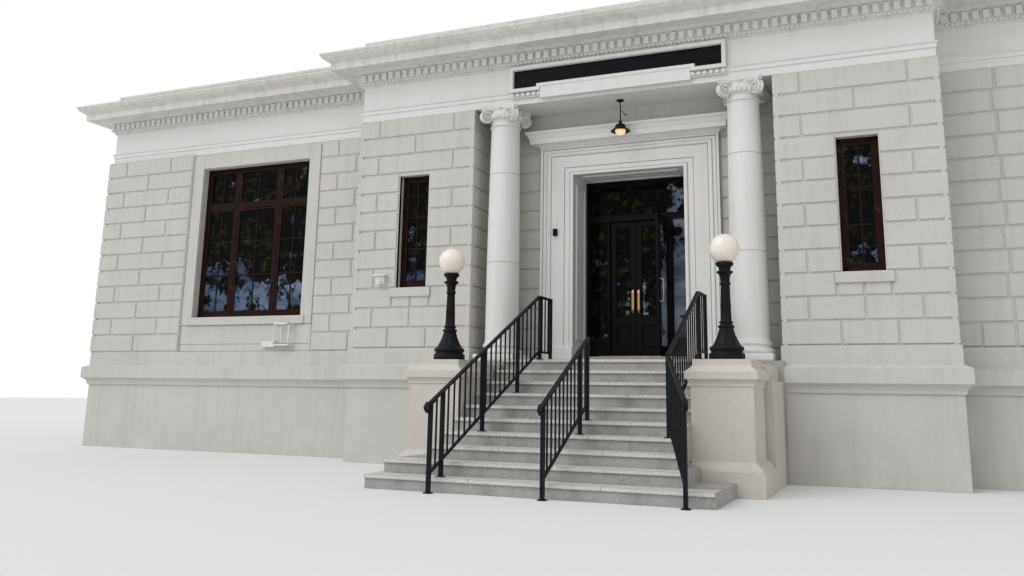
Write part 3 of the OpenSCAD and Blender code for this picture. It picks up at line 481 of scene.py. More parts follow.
# Paler copy of the grey granite for the treads: painted light on the upward faces, with fewer stains as on worn
# treads.
TREAD_GRANITE_LIT_AND_WORN = Finish(
    "tread_granite_lit_and_worn", srgb(218, 216, 212), Speckle, (("Crystals", 120.0), ("Stains", 0.16)),
    bump=0.25, depth=0.003, roughness=0.6)
ROOFING = Finish(
    "roof_gravel", srgb(112, 111, 108), Speckle, (("Crystals", 60.0), ("Stains", 0.5)),
    bump=0.6, depth=0.01, roughness=0.95)
TERRAZZO = Finish(
    "terrazzo", srgb(120, 110, 98), Speckle, (("Crystals", 90.0), ("Stains", 0.2)),
    bump=0.02, depth=0.001, roughness=0.3)
IRON = Finish(
    "cast_iron", srgb(25, 26, 28), Fibre, (("Depth", 0.04), ("Scale", 20.0)),
    bump=0.15, depth=0.001, roughness=0.45, gloss=(("Specular IOR Level", 0.10),))
BLACK_PAINT = Finish(
    "brushed_black", srgb(17, 17, 19), Fibre, (("Depth", 0.02), ("Scale", 9.0)),
    bump=0.06, depth=0.001, roughness=0.35, gloss=(("Specular IOR Level", 0.06),))
MAHOGANY = Finish(
    "varnished_mahogany", srgb(41, 25, 22), Fibre, (("Depth", 0.3), ("Scale", 7.0)),
    bump=0.12, depth=0.001, roughness=0.45, gloss=(("Specular IOR Level", 0.05),))
BRASS = Finish(
    "brass", srgb(178, 150, 104), Fibre, (("Depth", 0.25), ("Scale", 30.0)),
    bump=0.05, depth=0.0005, roughness=0.28, gloss=(("Metallic", 1.0),))
STEEL = Finish(
    "brushed_steel", srgb(170, 170, 168), Fibre, (("Depth", 0.15), ("Scale", 30.0)),
    bump=0.05, depth=0.0005, roughness=0.35, gloss=(("Metallic", 1.0),))
OPAL = Finish(
    "opal_globe", srgb(240, 232, 224), Weather,
    (("Streaks", 0.03), ("Blotches", 0.05), ("Grime", 0.0), ("Grain", 12.0)),
    bump=0.0, depth=0.001, roughness=0.18,
    gloss=(("Subsurface Weight", 0.35), ("Coat Weight", 0.4), ("Emission Color", srgb(255, 238, 220)),
           ("Emission Strength", 0.06)))
LIT_GLASS = Finish(
    "lit_glass", srgb(250, 226, 178), Weather,
    (("Streaks", 0.0), ("Blotches", 0.0), ("Grime", 0.0), ("Grain", 12.0)),
    bump=0.0, depth=0.001, roughness=0.3,
    gloss=(("Emission Color", srgb(255, 222, 160)), ("Emission Strength", 0.55)))
# Glass colours: the dark base is painted shade for the rooms behind, and the sky and leaf colours are painted
# reflections; the doors carry a paler painted sky, warmer painted leaves and more reflected sky on their right
# side.
WINDOW_GLASS = Glazing(
    "window_glass", srgb(9, 10, 10), roughness=0.06, gloss=(("Specular IOR Level", 0.03),))
DOOR_GLASS = Glazing(
    "door_glass", srgb(6, 7, 7), roughness=0.06, gloss=(("Specular IOR Level", 0.03),), tree_reflection_cover=0.72,
    right_sky_reflection=0.26, sky=((84, 100, 122), (164, 174, 190)), leaf=(66, 56, 24))


class Bench:
    """The modelling steps that every piece is made with."""

    crease = math.radians(40)
    merge = 0.00001

    @staticmethod
    def only(piece: Object) -> None:
        """Selects one object and makes it the active one.

        Args:
            piece: The object.
        """
        bpy.ops.object.select_all(action="DESELECT")
        piece.select_set(True)
        bpy.context.view_layer.objects.active = piece

    @staticmethod
    def sized(scale: Sequence[float]) -> Object:
        """Stretches the new primitive and applies its place and size.

        Args:
            scale: Its size along the three axes.

        Returns:
            The primitive.
        """
        made = bpy.context.active_object
        made.scale = scale
        bpy.ops.object.transform_apply(location=True, rotation=True, scale=True)
        return made

    @classmethod
    def block(cls, low: Sequence[float], high: Sequence[float], edge: float = 0.0,
              segments: int = 2) -> Object:
        """Makes a block between two corners.

        Args:
            low: Its lowest corner.
            high: Its highest corner.
            edge: How far its edges are rounded, if at all.
            segments: The facets of the rounding.

        Returns:
            The block.
        """
        bpy.ops.mesh.primitive_cube_add(size=1, location=[(a + b) / 2 for a, b in zip(low, high)])
        made = cls.sized([b - a for a, b in zip(low, high)])
        return cls.bevel(made, edge, segments) if edge else made

    @classmethod
    def ball(cls, centre: Sequence[float], radii: Sequence[float], segments: int = 12,
             rings: int = 8) -> Object:
        """Returns a ball with a radius of its own along each axis."""
        bpy.ops.mesh.primitive_uv_sphere_add(segments=segments, ring_count=rings, radius=1, location=centre)
        return cls.sized(radii)

    @classmethod
    def join(cls, parts: Sequence[Object]) -> Object:
        """Joins objects into the first of them.

        Args:
            parts: The objects.

        Returns:
            The joined object.
        """
        cls.only(parts[0])
        for part in parts[1:]:
            part.select_set(True)
        if len(parts) > 1:
            bpy.ops.object.join()
        return bpy.context.active_object

    @classmethod
    def modify(cls, piece: Object, kind: str, **settings: object) -> Object:
        """Adds one modifier to a piece and applies it.

        Args:
            piece: The piece.
            kind: The modifier's type.
            settings: Its settings.

        Returns:
            The piece.
        """
        cls.only(piece)
        modifier = piece.modifiers.new(kind.lower(), kind)
        for key, value in settings.items():
            setattr(modifier, key, value)
        bpy.ops.object.modifier_apply(modifier=modifier.name)
        return piece

    @classmethod
    def bevel(cls, piece: Object, width: float, segments: int = 2) -> Object:
        """Rounds a piece's sharp edges."""
        return cls.modify(piece, "BEVEL", width=width, segments=segments, limit_method="ANGLE",
                          angle_limit=cls.crease)

    @classmethod
    def repeat(cls, piece: Object, count: int, step: Sequence[float]) -> Object:
        """Repeats a piece in a row, each copy a step on."""
        return cls.modify(piece, "ARRAY", count=count, use_relative_offset=False, use_constant_offset=True,
                          constant_offset_displace=step)

    @staticmethod
    def move(piece: Object, matrix: Matrix) -> Object:
        """Moves a piece's mesh, and turns its faces back if the matrix mirrors it.

        Args:
            piece: The piece.
            matrix: The move.

        Returns:
            The piece.
        """
        piece.data.transform(matrix)
        if matrix.determinant() < 0:
            piece.data.flip_normals()
        return piece

    @classmethod
    def twin(cls, piece: Object, matrix: Matrix) -> Object:
        """Copies a piece with a mesh of its own and moves the copy.

        Args:
            piece: The piece, which stays as it is.
            matrix: The copy's move.

        Returns:
            The copy.
        """
        made = piece.copy()
        made.data = piece.data.copy()
        bpy.context.scene.collection.objects.link(made)
        return cls.move(made, matrix)

    @classmethod
    def pair(cls, piece: Object) -> list[Object]:
        """Returns a piece and its mirror image on the building's other side."""
        return [piece, cls.twin(piece, MIRROR)]

    @classmethod
    def spread(cls, piece: Object, places: Sequence[Matrix]) -> list[Object]:
        """Moves a piece to the last of several places and returns it after its twins at the others."""
        return [*(cls.twin(piece, place) for place in places[:-1]), cls.move(piece, places[-1])]

    @staticmethod
    def raw(points: Iterable[Sequence[float]], edges: Sequence = (), faces: Sequence = ()) -> Object:
        """Makes an object from points, edges and faces.

        Args:
            points: The points.
            edges: Pairs of point numbers.
            faces: Rings of point numbers.

        Returns:
            The object.
        """
        mesh = bpy.data.meshes.new("shape")
        mesh.from_pydata([tuple(p) for p in points], list(edges), list(faces))
        made = bpy.data.objects.new("shape", mesh)
        bpy.context.scene.collection.objects.link(made)
        return made

    @classmethod
    def loft(cls, rings: Sequence[Sequence[Sequence[float]]], closed: bool = False) -> Object:
        """Makes a closed solid through rings of points.

        Args:
            rings: The rings, each a list of as many points.
            closed: Whether the last ring leads on to the first; otherwise both ends are capped.

        Returns:
            The new object, its faces pointing outwards.
        """
        size, count = len(rings[0]), len(rings)
        faces = [(k * size + i, k * size + (i + 1) % size, (k + 1) % count * size + (i + 1) % size,
                  (k + 1) % count * size + i)
                 for k in range(count if closed else count - 1) for i in range(size)]
        if not closed:
            faces += [tuple(range(size))[::-1], tuple((count - 1) * size + i for i in range(size))]
        return cls.outward(cls.raw([p for ring in rings for p in ring], faces=faces))

    @classmethod
    def outward(cls, piece: Object, merge: float = 0.0) -> Object:
        """Points a closed piece's faces outwards.

        Args:
            piece: The piece.
            merge: The distance below which points are merged first, if at all.

        Returns:
            The piece.
        """
        cls.only(piece)
        bpy.ops.object.mode_set(mode="EDIT")
        bpy.ops.mesh.select_all(action="SELECT")
        if merge:
            bpy.ops.mesh.remove_doubles(threshold=merge)
        bpy.ops.mesh.normals_make_consistent(inside=False)
        bpy.ops.object.mode_set(mode="OBJECT")
        return piece

    @classmethod
    def lathe(cls, profile: Profile, centre: Sequence[float] = (0, 0, 0), steps: int = 48) -> Object:
        """Turns a profile about an upright axis.

        Args:
            profile: Pairs of radius and height.
            centre: The axis's foot.
            steps: The facets around.

        Returns:
            The turned piece.
        """
        made = cls.raw([(r, 0, z) for r, z in profile], [(k, k + 1) for k in range(len(profile) - 1)])
        cls.only(made)
        bpy.ops.object.mode_set(mode="EDIT")
        bpy.ops.mesh.select_all(action="SELECT")
        bpy.ops.mesh.spin(steps=steps, angle=2 * math.pi, center=(0, 0, 0), axis=(0, 0, 1))
        bpy.ops.object.mode_set(mode="OBJECT")
        return cls.move(cls.outward(made, cls.merge), at(*centre))

    @classmethod
    def tube(cls, points: Sequence[Sequence[float]], radius: float, taper: Sequence[float] = (),
             sides: int = 2) -> Object:
        """Makes a round tube along points.

        Args:
            points: The points.
            radius: The tube's radius.
            taper: The share of the radius at each point, all of it if left out.
            sides: How finely it is rounded.

        Returns:
            The tube.
        """
        data = bpy.data.curves.new("tube", "CURVE")
        data.dimensions = "3D"
        data.bevel_depth = radius
        data.bevel_resolution = sides
        data.use_fill_caps = True
        spline = data.splines.new("POLY")
        spline.points.add(len(points) - 1)
        for k, point in enumerate(points):
            spline.points[k].co = (*point, 1)
            spline.points[k].radius = taper[k] if taper else 1.0
        made = bpy.data.objects.new("tube", data)
        bpy.context.scene.collection.objects.link(made)
        cls.only(made)
        bpy.ops.object.convert(target="MESH")
        return bpy.context.active_object

    @classmethod
    def settle(cls, piece: Object, name: str, finish: Finish, slot: Slot | None, body: str = BUILDING,
               replaces: Sequence[str] = (), smooth: float = 0.0) -> Object:
        """Names a finished piece, dresses it and lets it ride on a body.

        Args:
            piece: The finished mesh object.
            name: The piece's name.
            finish: Its finish.
            slot: The record's slot that the finish belongs to; not used.
            body: The body it rides on.
            replaces: The CAD nodes it stands for.
            smooth: The angle in degrees below which edges are shaded smooth.

        Returns:
            The piece.
        """
        piece.name = piece.data.name = name
        piece.data.materials.clear()
        piece.data.materials.append(finish.material())
        if smooth:
            cls.only(piece)
            bpy.ops.object.shade_smooth_by_angle(angle=math.radians(smooth))
        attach(piece, body)
        if replaces:
            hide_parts(*replaces)
        LOG.info("%s: %d faces", name, len(piece.data.polygons))
        return piece


@dataclass
class Courses:
    """One wall face laid out in channelled blocks, seen from outside with u to the right."""

    place: Point
    turn: float
    low_u: float
    high_u: float
    joints: dict[int, Sequence[float]]
    openings: Sequence[tuple[float, float, float, float]] = ()
    corner_low: bool = False
    corner_high: bool = False
    low_z: float = 1.862
    first_z: float = 1.870
    course: float = 0.331
    count: int = 12
    groove: float = 0.008
    slope: float = 0.016
    raised: float = 0.024
    root: float = 0.06
    lift: float = 0.001
    margin: float = 0.01
    rounding: float = 0.0001

    def build(self) -> Object:
        """Cuts a sheet into blocks, raises them and gives them a root in the wall.

        Returns:
            The blocks, in place.
        """
        sheet = self.sheet()
        bpy.ops.object.mode_set(mode="EDIT")
        bpy.ops.mesh.select_mode(type="FACE")
        self.cut_joints(sheet)
        for opening in self.openings:
            self.cut_opening(sheet, *opening)
        bpy.ops.mesh.select_all(action="SELECT")
        bpy.ops.mesh.inset(thickness=self.groove, depth=0, use_individual=True)
        bpy.ops.mesh.inset(thickness=self.slope, depth=self.raised, use_individual=True)
        for corner, u, way in ((self.corner_low, self.low_u - self.raised, -1),
                               (self.corner_high, self.high_u + self.raised, 1)):
            if corner:
                bpy.ops.mesh.select_all(action="SELECT")
                bpy.ops.mesh.bisect(plane_co=(u, 0, 0), plane_no=(way, 0, 0), clear_outer=True)
        bpy.ops.mesh.select_mode(type="EDGE")
        bpy.ops.mesh.select_all(action="DESELECT")
        bpy.ops.mesh.select_non_manifold()
        bpy.ops.mesh.extrude_region_move(TRANSFORM_OT_translate={"value": (0, self.root, 0)})
        bpy.ops.object.mode_set(mode="OBJECT")
        return Bench.move(sheet, at(*self.place) @ turned(self.turn) @ at(0, -self.lift))

    def sheet(self) -> Object:
        """Makes the plain sheet, wider at a corner of the building so that the blocks meet there.

        Returns:
            The sheet, upright in the XZ plane.
        """
        past = self.groove + self.slope + self.raised
        low = self.low_u - (past if self.corner_low else 0)
        high = self.high_u + (past if self.corner_high else 0)
        top = self.first_z + self.count * self.course
        bpy.ops.mesh.primitive_plane_add(size=1, location=((low + high) / 2, 0, (self.low_z + top) / 2))
        bpy.context.active_object.rotation_euler = (math.pi / 2, 0, 0)
        return Bench.sized((high - low, top - self.low_z, 1))

    def cut_joints(self, sheet: Object) -> None:
        """Cuts the level joints and then each course's upright ones.

        Args:
            sheet: The sheet, in edit mode.
        """
        for k in range(1, self.count):
            bpy.ops.mesh.select_all(action="SELECT")
            bpy.ops.mesh.bisect(plane_co=(0, 0, self.first_z + k * self.course), plane_no=(0, 0, 1))
        places: dict[float, list[int]] = {}
        for row, joints in self.joints.items():
            for u in joints:
                places.setdefault(u, []).append(row)
        for u, rows in places.items():
            self.cut_upright(sheet, u, rows)

    def cut_upright(self, sheet: Object, u: float, rows: Sequence[int]) -> None:
        """Cuts the given courses with an upright line."""
        self.select(sheet, lambda c: self.row_of(c.z) in rows)
        bpy.ops.mesh.bisect(plane_co=(u, 0, 0), plane_no=(1, 0, 0))

    def cut_opening(self, sheet: Object, u0: float, u1: float, z0: float, z1: float) -> None:
        """Cuts a window's opening out of the sheet.

        Args:
            sheet: The sheet, in edit mode.
            u0: The opening's left edge.
            u1: Its right edge.
            z0: Its foot.
            z1: Its head.
        """
        rows = range(self.row_of(z0 + self.margin), self.row_of(z1 - self.margin) + 1)
        for u in (u0, u1):
            self.cut_upright(sheet, u, rows)
        self.select(sheet, lambda c: u0 < c.x < u1 and self.row_of(c.z) in rows)
        bpy.ops.mesh.delete(type="FACE")

    def row_of(self, z: float) -> int:
        """Returns the number of the course at a height."""
        return int(math.floor((z - self.first_z) / self.course + self.rounding)) if z > self.first_z else 0

    @staticmethod
    def select(sheet: Object, wanted: Callable[[Vector], bool]) -> None:
        """Selects the sheet's faces whose middle is wanted.

        Args:
            sheet: The sheet, in edit mode.
            wanted: Tells from a face's middle whether it is wanted.
        """
        shape = bmesh.from_edit_mesh(sheet.data)
        for face in shape.faces:
            face.select_set(bool(wanted(face.calc_center_median())))
        bmesh.update_edit_mesh(sheet.data)


@dataclass
class Stonework:
    """All the channelled blocks of the building."""

    recess_x: float = 2.459
    surround_x: float = 1.505
    corner_w: float = 2.243
    corner_out: float = 0.038
    casing_low: float = 6.045
    slit_w: float = 0.565
    slit_head: float = 4.849
    rear_gap: Point = (1.896, 5.689)
    rear_half: float = 0.351
    odd: tuple[int, ...] = (1, 3, 5, 7, 9, 11)
    even: tuple[int, ...] = (0, 2, 4, 6, 8, 10)

    def build(self) -> None:
        """Builds and dresses every sheet of blocks."""
        right_pier = self.pier()
        back = Courses((0, PLAN.wing_y), 0, self.surround_x, self.recess_x, self.rows((), (1.98,))).build()
        for name, parts in (("left_pier_blocks", [Bench.twin(right_pier, MIRROR)]),
                            ("right_pier_blocks", [right_pier]), ("corner_blocks", self.corner_legs()),
                            ("wall_blocks", self.strips()), ("portico_blocks", Bench.pair(back))):
            Bench.settle(Bench.join(parts), name, STUCCO, Slot.STUCCO)

    def rows(self, odd: Sequence[float], even: Sequence[float]) -> dict[int, Sequence[float]]:
        """Returns the joints of every course, from those of the odd and of the even ones."""
        return {**{k: odd for k in self.odd}, **{k: even for k in self.even}}

    def pier(self) -> Object:
        """Makes the blocks of the right pier, as the photo shows their joints.

        Returns:
            Its front and both returns in one piece.
        """
        low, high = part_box("pier_windows")
        window = (high.x - self.slit_w, high.x, low.z, self.slit_head)
        joints = {0: (3.232, 3.957), 1: (2.814, 3.554, 4.277), 2: (3.19, 3.545, 3.90), 10: (3.554,),
                  **{k: (2.82, 4.277) for k in self.odd[1:]}}
        front = Courses((0, 0), 0, self.recess_x, PLAN.pavilion_x, joints, [window], True, True)
        inner = Courses((self.recess_x, 0), -90, -PLAN.wing_y, 0, {}, corner_high=True)
        outer = Courses((PLAN.pavilion_x, 0), 90, 0, PLAN.wing_y, {}, corner_low=True)
        return Bench.join([face.build() for face in (front, inner, outer)])

    def corner_legs(self) -> list[Object]:
        """Makes the thicker blocks on both sides of all four corners.

        Returns:
            The blocks of each side.
        """
        joints = self.rows((-0.442, -1.648), (-1.075,))
        turned_joints = {k: [-u for u in us] for k, us in joints.items()}
        parts = []
        for y, turns in ((PLAN.wing_y, (0, 90)), (PLAN.rear_y, (90, 180))):
            corner = (PLAN.side_x, y)
            before = Courses(corner, turns[0], -self.corner_w, self.corner_out, joints, corner_high=True)
            after = Courses(corner, turns[1], -self.corner_out, self.corner_w, turned_joints, corner_low=True)
            for leg in (before, after):
                out = turned(leg.turn) @ Vector((0, -self.corner_out, 0))
                parts += Bench.pair(Bench.move(leg.build(), at(*out)))
        return parts

    def strips(self) -> list[Object]:
        """Makes the blocks between the casings of the windows.

        Returns:
            The blocks of each strip.
        """
        front = (0, PLAN.wing_y)
        left = Courses(front, 0, -self.casing_low, -PLAN.pavilion_x, self.rows((-5.645,), (-5.24,)))
        right = Courses(front, 0, PLAN.pavilion_x, self.casing_low,
                        {**self.rows((5.41,), (5.357,)), 0: (4.99, 5.41)})
        side = (PLAN.side_x, (PLAN.wing_y + PLAN.rear_y) / 2)
        mirrored = [Courses(side, 90, u0, u1, joints) for u0, u1, joints in (
            (-0.455, 0.455, self.rows((), (0.0,))), (3.545, 3.81, {}), (-3.81, -3.545, {}))]
        mirrored += [Courses((0, PLAN.rear_y), 180, u - self.rear_half, u + self.rear_half,
                             self.rows((), (u,))) for u in self.rear_gap]
        parts = [left.build(), right.build()]
        for strip in mirrored:
            parts += Bench.pair(strip.build())
        return parts


@dataclass
class WindowKind:
    """One kind of window, modelled once with the wall's face at Y = 0 and copied to each place."""

    name: str
    node: str
    width: float
    height: float
    foot: float
    sashes: tuple[Point, ...]
    bars: tuple[float, ...]
    places: tuple[Matrix, ...]
    transom: float = 0.0
    transom_h: float = 0.06
    set_back: float = 0.12
    depth: float = 0.09
    frame: float = 0.05
    stile: float = 0.055
    low_rail: float = 0.085
    bar: float = 0.024
    sash_y: Point = (0.018, 0.072)
    pane_y: Point = (0.04, 0.048)
    pane_in: float = 0.03
    lap: float = 0.01

    def build(self) -> None:
        """Builds the wood and the glass and copies both to every place."""
        wood = Bench.spread(Bench.bevel(Bench.join(self.wood()), 0.003), self.places)
        panes = Bench.spread(Bench.bevel(Bench.join(self.panes()), 0.001, 1), self.places)
        for k, pieces in enumerate(zip(wood, panes), 1):
            for piece, finish, slot, what in zip(pieces, (MAHOGANY, WINDOW_GLASS), (Slot.DARK_WOOD, None),
                                                 ("wood", "glass")):
                Bench.settle(piece, f"{self.name}_{what}_{k}", finish, slot, replaces=[self.node])

    def wood(self) -> list[Object]:
        """Makes the frame, the posts, the sashes and the bars.

        Returns:
            Their blocks.
        """
        front, back = self.set_back, self.set_back + self.depth
        half, foot, top = self.width / 2, self.foot, self.foot + self.height
        parts = [Bench.block((a, front, c), (b, back, d)) for a, b, c, d in (
            (-half, -half + self.frame, foot, top), (half - self.frame, half, foot, top),
            (-half, half, foot, foot + self.frame), (-half, half, top - self.frame, top))]
        for (_, right), (left, _) in zip(self.sashes, self.sashes[1:]):
            parts.append(Bench.block((right, front + 0.012, foot + self.lap),
                                     (left, back - self.lap, top - self.lap)))
        for light in self.lights():
            parts += self.sash(*light)
        return parts

    def lights(self) -> list[tuple[float, float, float, float]]:
        """Lists the sashes.

        Returns:
            Each one's left, right, foot and head.
        """
        foot, head = self.foot + self.frame, self.foot + self.height - self.frame
        levels = [(foot, head)]
        if self.transom:
            levels = [(foot, self.transom), (self.transom + self.transom_h, head)]
        return [(a, b, *level) for a, b in self.sashes for level in levels]

    def sash(self, low: float, high: float, foot: float, head: float) -> list[Object]:
        """Makes one sash with its bars.

        Args:
            low: Its left edge.
            high: Its right edge.
            foot: Its lower edge.
            head: Its upper edge.

        Returns:
            Its blocks.
        """
        y0, y1 = (self.set_back + y for y in self.sash_y)
        middle, half, lap = (low + high) / 2, self.bar / 2, self.lap
        rail = self.low_rail if foot < self.transom or not self.transom else self.stile
        boxes = [(low, low + self.stile, foot, head, 0.0), (high - self.stile, high, foot, head, 0.0),
                 (low + lap, high - lap, foot, foot + rail, 0.001),
                 (low + lap, high - lap, head - self.stile, head, 0.001),
                 (middle - half, middle + half, foot + 0.02, head - 0.02, 0.008)]
        boxes += [(low + 0.02, high - 0.02, z - half, z + half, 0.01) for z in self.bars if foot < z < head]
        parts = [Bench.block((a, y0 + thin, c), (b, y1 - thin, d)) for a, b, c, d, thin in boxes]
        if self.transom and foot < self.transom:
            rail_head = self.transom + self.transom_h + lap
            parts.append(Bench.block((low - 0.02, self.set_back + 0.005, self.transom - lap),
                                     (high + 0.02, self.set_back + 0.08, rail_head)))
        return parts

    def panes(self) -> list[Object]:
        """Returns the sheet of glass of every sash."""
        (y0, y1), edge = (self.set_back + y for y in self.pane_y), self.pane_in
        return [Bench.block((a + edge, y0, foot + edge), (b - edge, y1, head - edge))
                for a, b, foot, head in self.lights()]


@dataclass
class Windows:
    """Every window of the building and the casings round the wide ones."""

    pier_x: float = 3.557
    slit_size: Point = (0.565, 1.935)
    slit_foot: float = 2.865
    slit_sash: Point = (-0.2325, 0.2325)
    slit_bars: Point = (3.546, 4.087)
    wing_x: float = 7.59
    side_ys: Point = (4.757, 8.757)
    rear_xs: tuple[float, ...] = (-7.585, -3.793, 0.0, 3.793, 7.585)
    wide_size: Point = (2.56, 3.0)
    wide_foot: float = 2.52
    wide_sashes: tuple[Point, ...] = ((-1.23, -0.535), (-0.475, 0.475), (0.535, 1.23))
    wide_bars: Point = (3.352, 4.019)
    wide_transom: float = 4.70
    casing_u: Point = (1.288, 1.538)
    casing_z: Place = (2.37, 5.53, 5.80)
    casing_out: float = 0.028
    apron_z: tuple[Point, Point] = ((1.866, 1.995), (2.003, 2.362))
    apron_out: float = 0.014
    root: float = 0.02

    def build(self) -> None:
        """Builds all windows."""
        piers = tuple(at(s * self.pier_x) for s in (-1, 1))
        wings = tuple(at(s * self.wing_x, PLAN.wing_y) for s in (-1, 1))
        sides = tuple(at(s * PLAN.side_x, y) @ turned(s * 90) for s in (-1, 1) for y in self.side_ys)
        rear = tuple(at(x, PLAN.rear_y) @ turned(180) for x in self.rear_xs)
        WindowKind("pier_window", "pier_windows", *self.slit_size, self.slit_foot, (self.slit_sash,),
                   self.slit_bars, piers).build()
        for where, places in (("wing", wings), ("side", sides), ("rear", rear)):
            WindowKind(f"{where}_window", f"{where}_windows", *self.wide_size, self.wide_foot,
                       self.wide_sashes, self.wide_bars, places, transom=self.wide_transom).build()
        casing = Bench.bevel(Bench.join(self.casing()), 0.005)
        Bench.settle(Bench.join(Bench.spread(casing, wings + sides + rear)), "window_casings", STUCCO,
                     Slot.STUCCO)

    def casing(self) -> list[Object]:
        """Makes the plain band round a wide window and the field below its sill.

        Returns:
            Their blocks.
        """
        (near, far), (low, head, top) = self.casing_u, self.casing_z
        bands = [(-far, -near, low, top), (near, far, low, top), (-near + 0.002, near - 0.002, head, top)]
        parts = [Bench.block((a, -self.casing_out, c), (b, self.root, d)) for a, b, c, d in bands]
        return parts + [Bench.block((-far, -self.apron_out, foot), (far, self.root, head))
                        for foot, head in self.apron_z]


class Moulding:
    """Mouldings swept round an opening or a block, from profiles of distance and projection."""

    @staticmethod
    def section(profile: Profile, back: float) -> list[Point]:
        """Returns a profile closed behind the plane that it lies on."""
        return [(profile[0][0], -back), *profile, (profile[-1][0], -back)]

    @classmethod
    def around(cls, corners: Sequence[Point], profile: Profile, plane: float = 0.0,
               back: float = 0.01) -> Object:
        """Makes a mitred frame along an outline in the XZ plane.

        Args:
            corners: The outline's corners, counter-clockwise for a viewer in front, with right angles.
            profile: Pairs of distance in from the outline and projection towards the viewer.
            plane: The Y of the plane that the projection is counted from.
            back: How far it reaches back behind the plane.

        Returns:
            The frame.
        """
        rings = []
        for k, (u, v) in enumerate(corners):
            before, after = Vector(corners[k - 1]), Vector(corners[(k + 1) % len(corners)])
            here = Vector((u, v))
            first, second = (here - before).normalized(), (after - here).normalized()
            inward = Vector((-first.y - second.y, first.x + second.x))
            rings.append([(u + inward.x * d, plane - out, v + inward.y * d)
                          for d, out in cls.section(profile, back)])
        return Bench.loft(rings, closed=True)

    @classmethod
    def ring(cls, low: Point, high: Point, profile: Profile, back: float) -> Object:
        """Returns a mitred frame along a rectangle, from its left lower to its right upper corner."""
        return cls.around((low, (high[0], low[1]), high, (low[0], high[1])), profile, back=back)

    @classmethod
    def gate(cls, half: float, foot: float, head: float, profile: Profile, share: float,
             back: float) -> Object:
        """Makes a mitred band up both sides of an opening and over its head.

        Args:
            half: Half the opening's width.
            foot: The height that the band starts at.
            head: The opening's head.
            profile: Pairs of distance out from the opening and projection towards the viewer.
            share: How tall the band is over the head, as a share of its width.
            back: How far it reaches back behind the plane.

        Returns:
            The band.
        """
        section = cls.section(profile, back)
        legs = ((-1, False), (-1, True), (1, True), (1, False))
        return Bench.loft([[(s * (half + d), -out, head + d * share if up else foot) for d, out in section]
                           for s, up in legs])

    @staticmethod
    def crown(low: Point, high: Point, foot: float, profile: Profile) -> Object:
        """Returns a moulding round the front and both ends of a block, given by two corners in plan."""
        return Bench.loft([[(low[0] - out, low[1] - out, foot + z), (high[0] + out, low[1] - out, foot + z),
                            (high[0] + out, high[1], foot + z), (low[0] - out, high[1], foot + z)]
                           for out, z in profile])


@dataclass(frozen=True)
class Hinge:
    """A hinge with one moving knuckle between two fixed ones on a pin."""

    pin: float = 0.007
    bore: float = 0.0073
    height: float = 0.09
    knuckle: float = 0.0294
    fixed_z: Point = (0.0003, 0.0603)
    moving_z: float = 0.0303
    centre: Point = (-0.0025, 0.014)
    flap_x: Point = (0.0085, 0.0375)
    barrel: Profile = ((0.0115, 0.0), (0.012, 0.0008), (0.012, 0.0286), (0.0115, 0.0294))
    facets: int = 24
    edge: float = 0.001

    def fixed(self, x: float, y: float, foot: float, reach: float, post_y: float) -> list[Object]:
        """Makes the pin with its two fixed knuckles and their arms to the screen's post.

        Args:
            x: The pin's X.
            y: The pin's Y.
            foot: The pin's foot.
            reach: How far the arms reach to the side, with its sign.
            post_y: The Y that the arms reach to.

        Returns:
            The parts.
        """
        pin = ((0.0, 0.0), (self.pin, 0.0), (self.pin, self.height), (0.0, self.height))
        parts = [Bench.lathe(pin, (x, y, foot), 20)]
        for z in (foot + step for step in self.fixed_z):
            parts.append(Bench.lathe(((0.0, 0.0), *self.barrel, (0.0, self.knuckle)), (x, y, z), self.facets))
            parts.append(Bench.block((min(x, x + reach), min(y, post_y), z),
                                     (max(x, x + reach), max(y, post_y), z + self.knuckle), self.edge, 1))
        return parts

    def moving(self, foot: float, leaf_depth: float, behind: bool) -> Object:
        """Makes the moving knuckle with its flap on the leaf.

        Args:
            foot: The hinge's foot.
            leaf_depth: The leaf's thickness.
            behind: Whether the hinge is on the leaf's inner face.

        Returns:
            The knuckle and the flap.
        """
        (x, out), z = self.centre, foot + self.moving_z
        y, face = (leaf_depth + out, leaf_depth) if behind else (-out, 0.0)
        barrel = Bench.lathe(((self.bore, 0), *self.barrel, (self.bore, self.knuckle), (self.bore, 0)),
                             (x, y, z), self.facets)
        flap = Bench.block((self.flap_x[0], min(y, face), z),
                           (self.flap_x[1], max(y, face), z + self.knuckle), self.edge, 1)
        return Bench.join([barrel, flap])


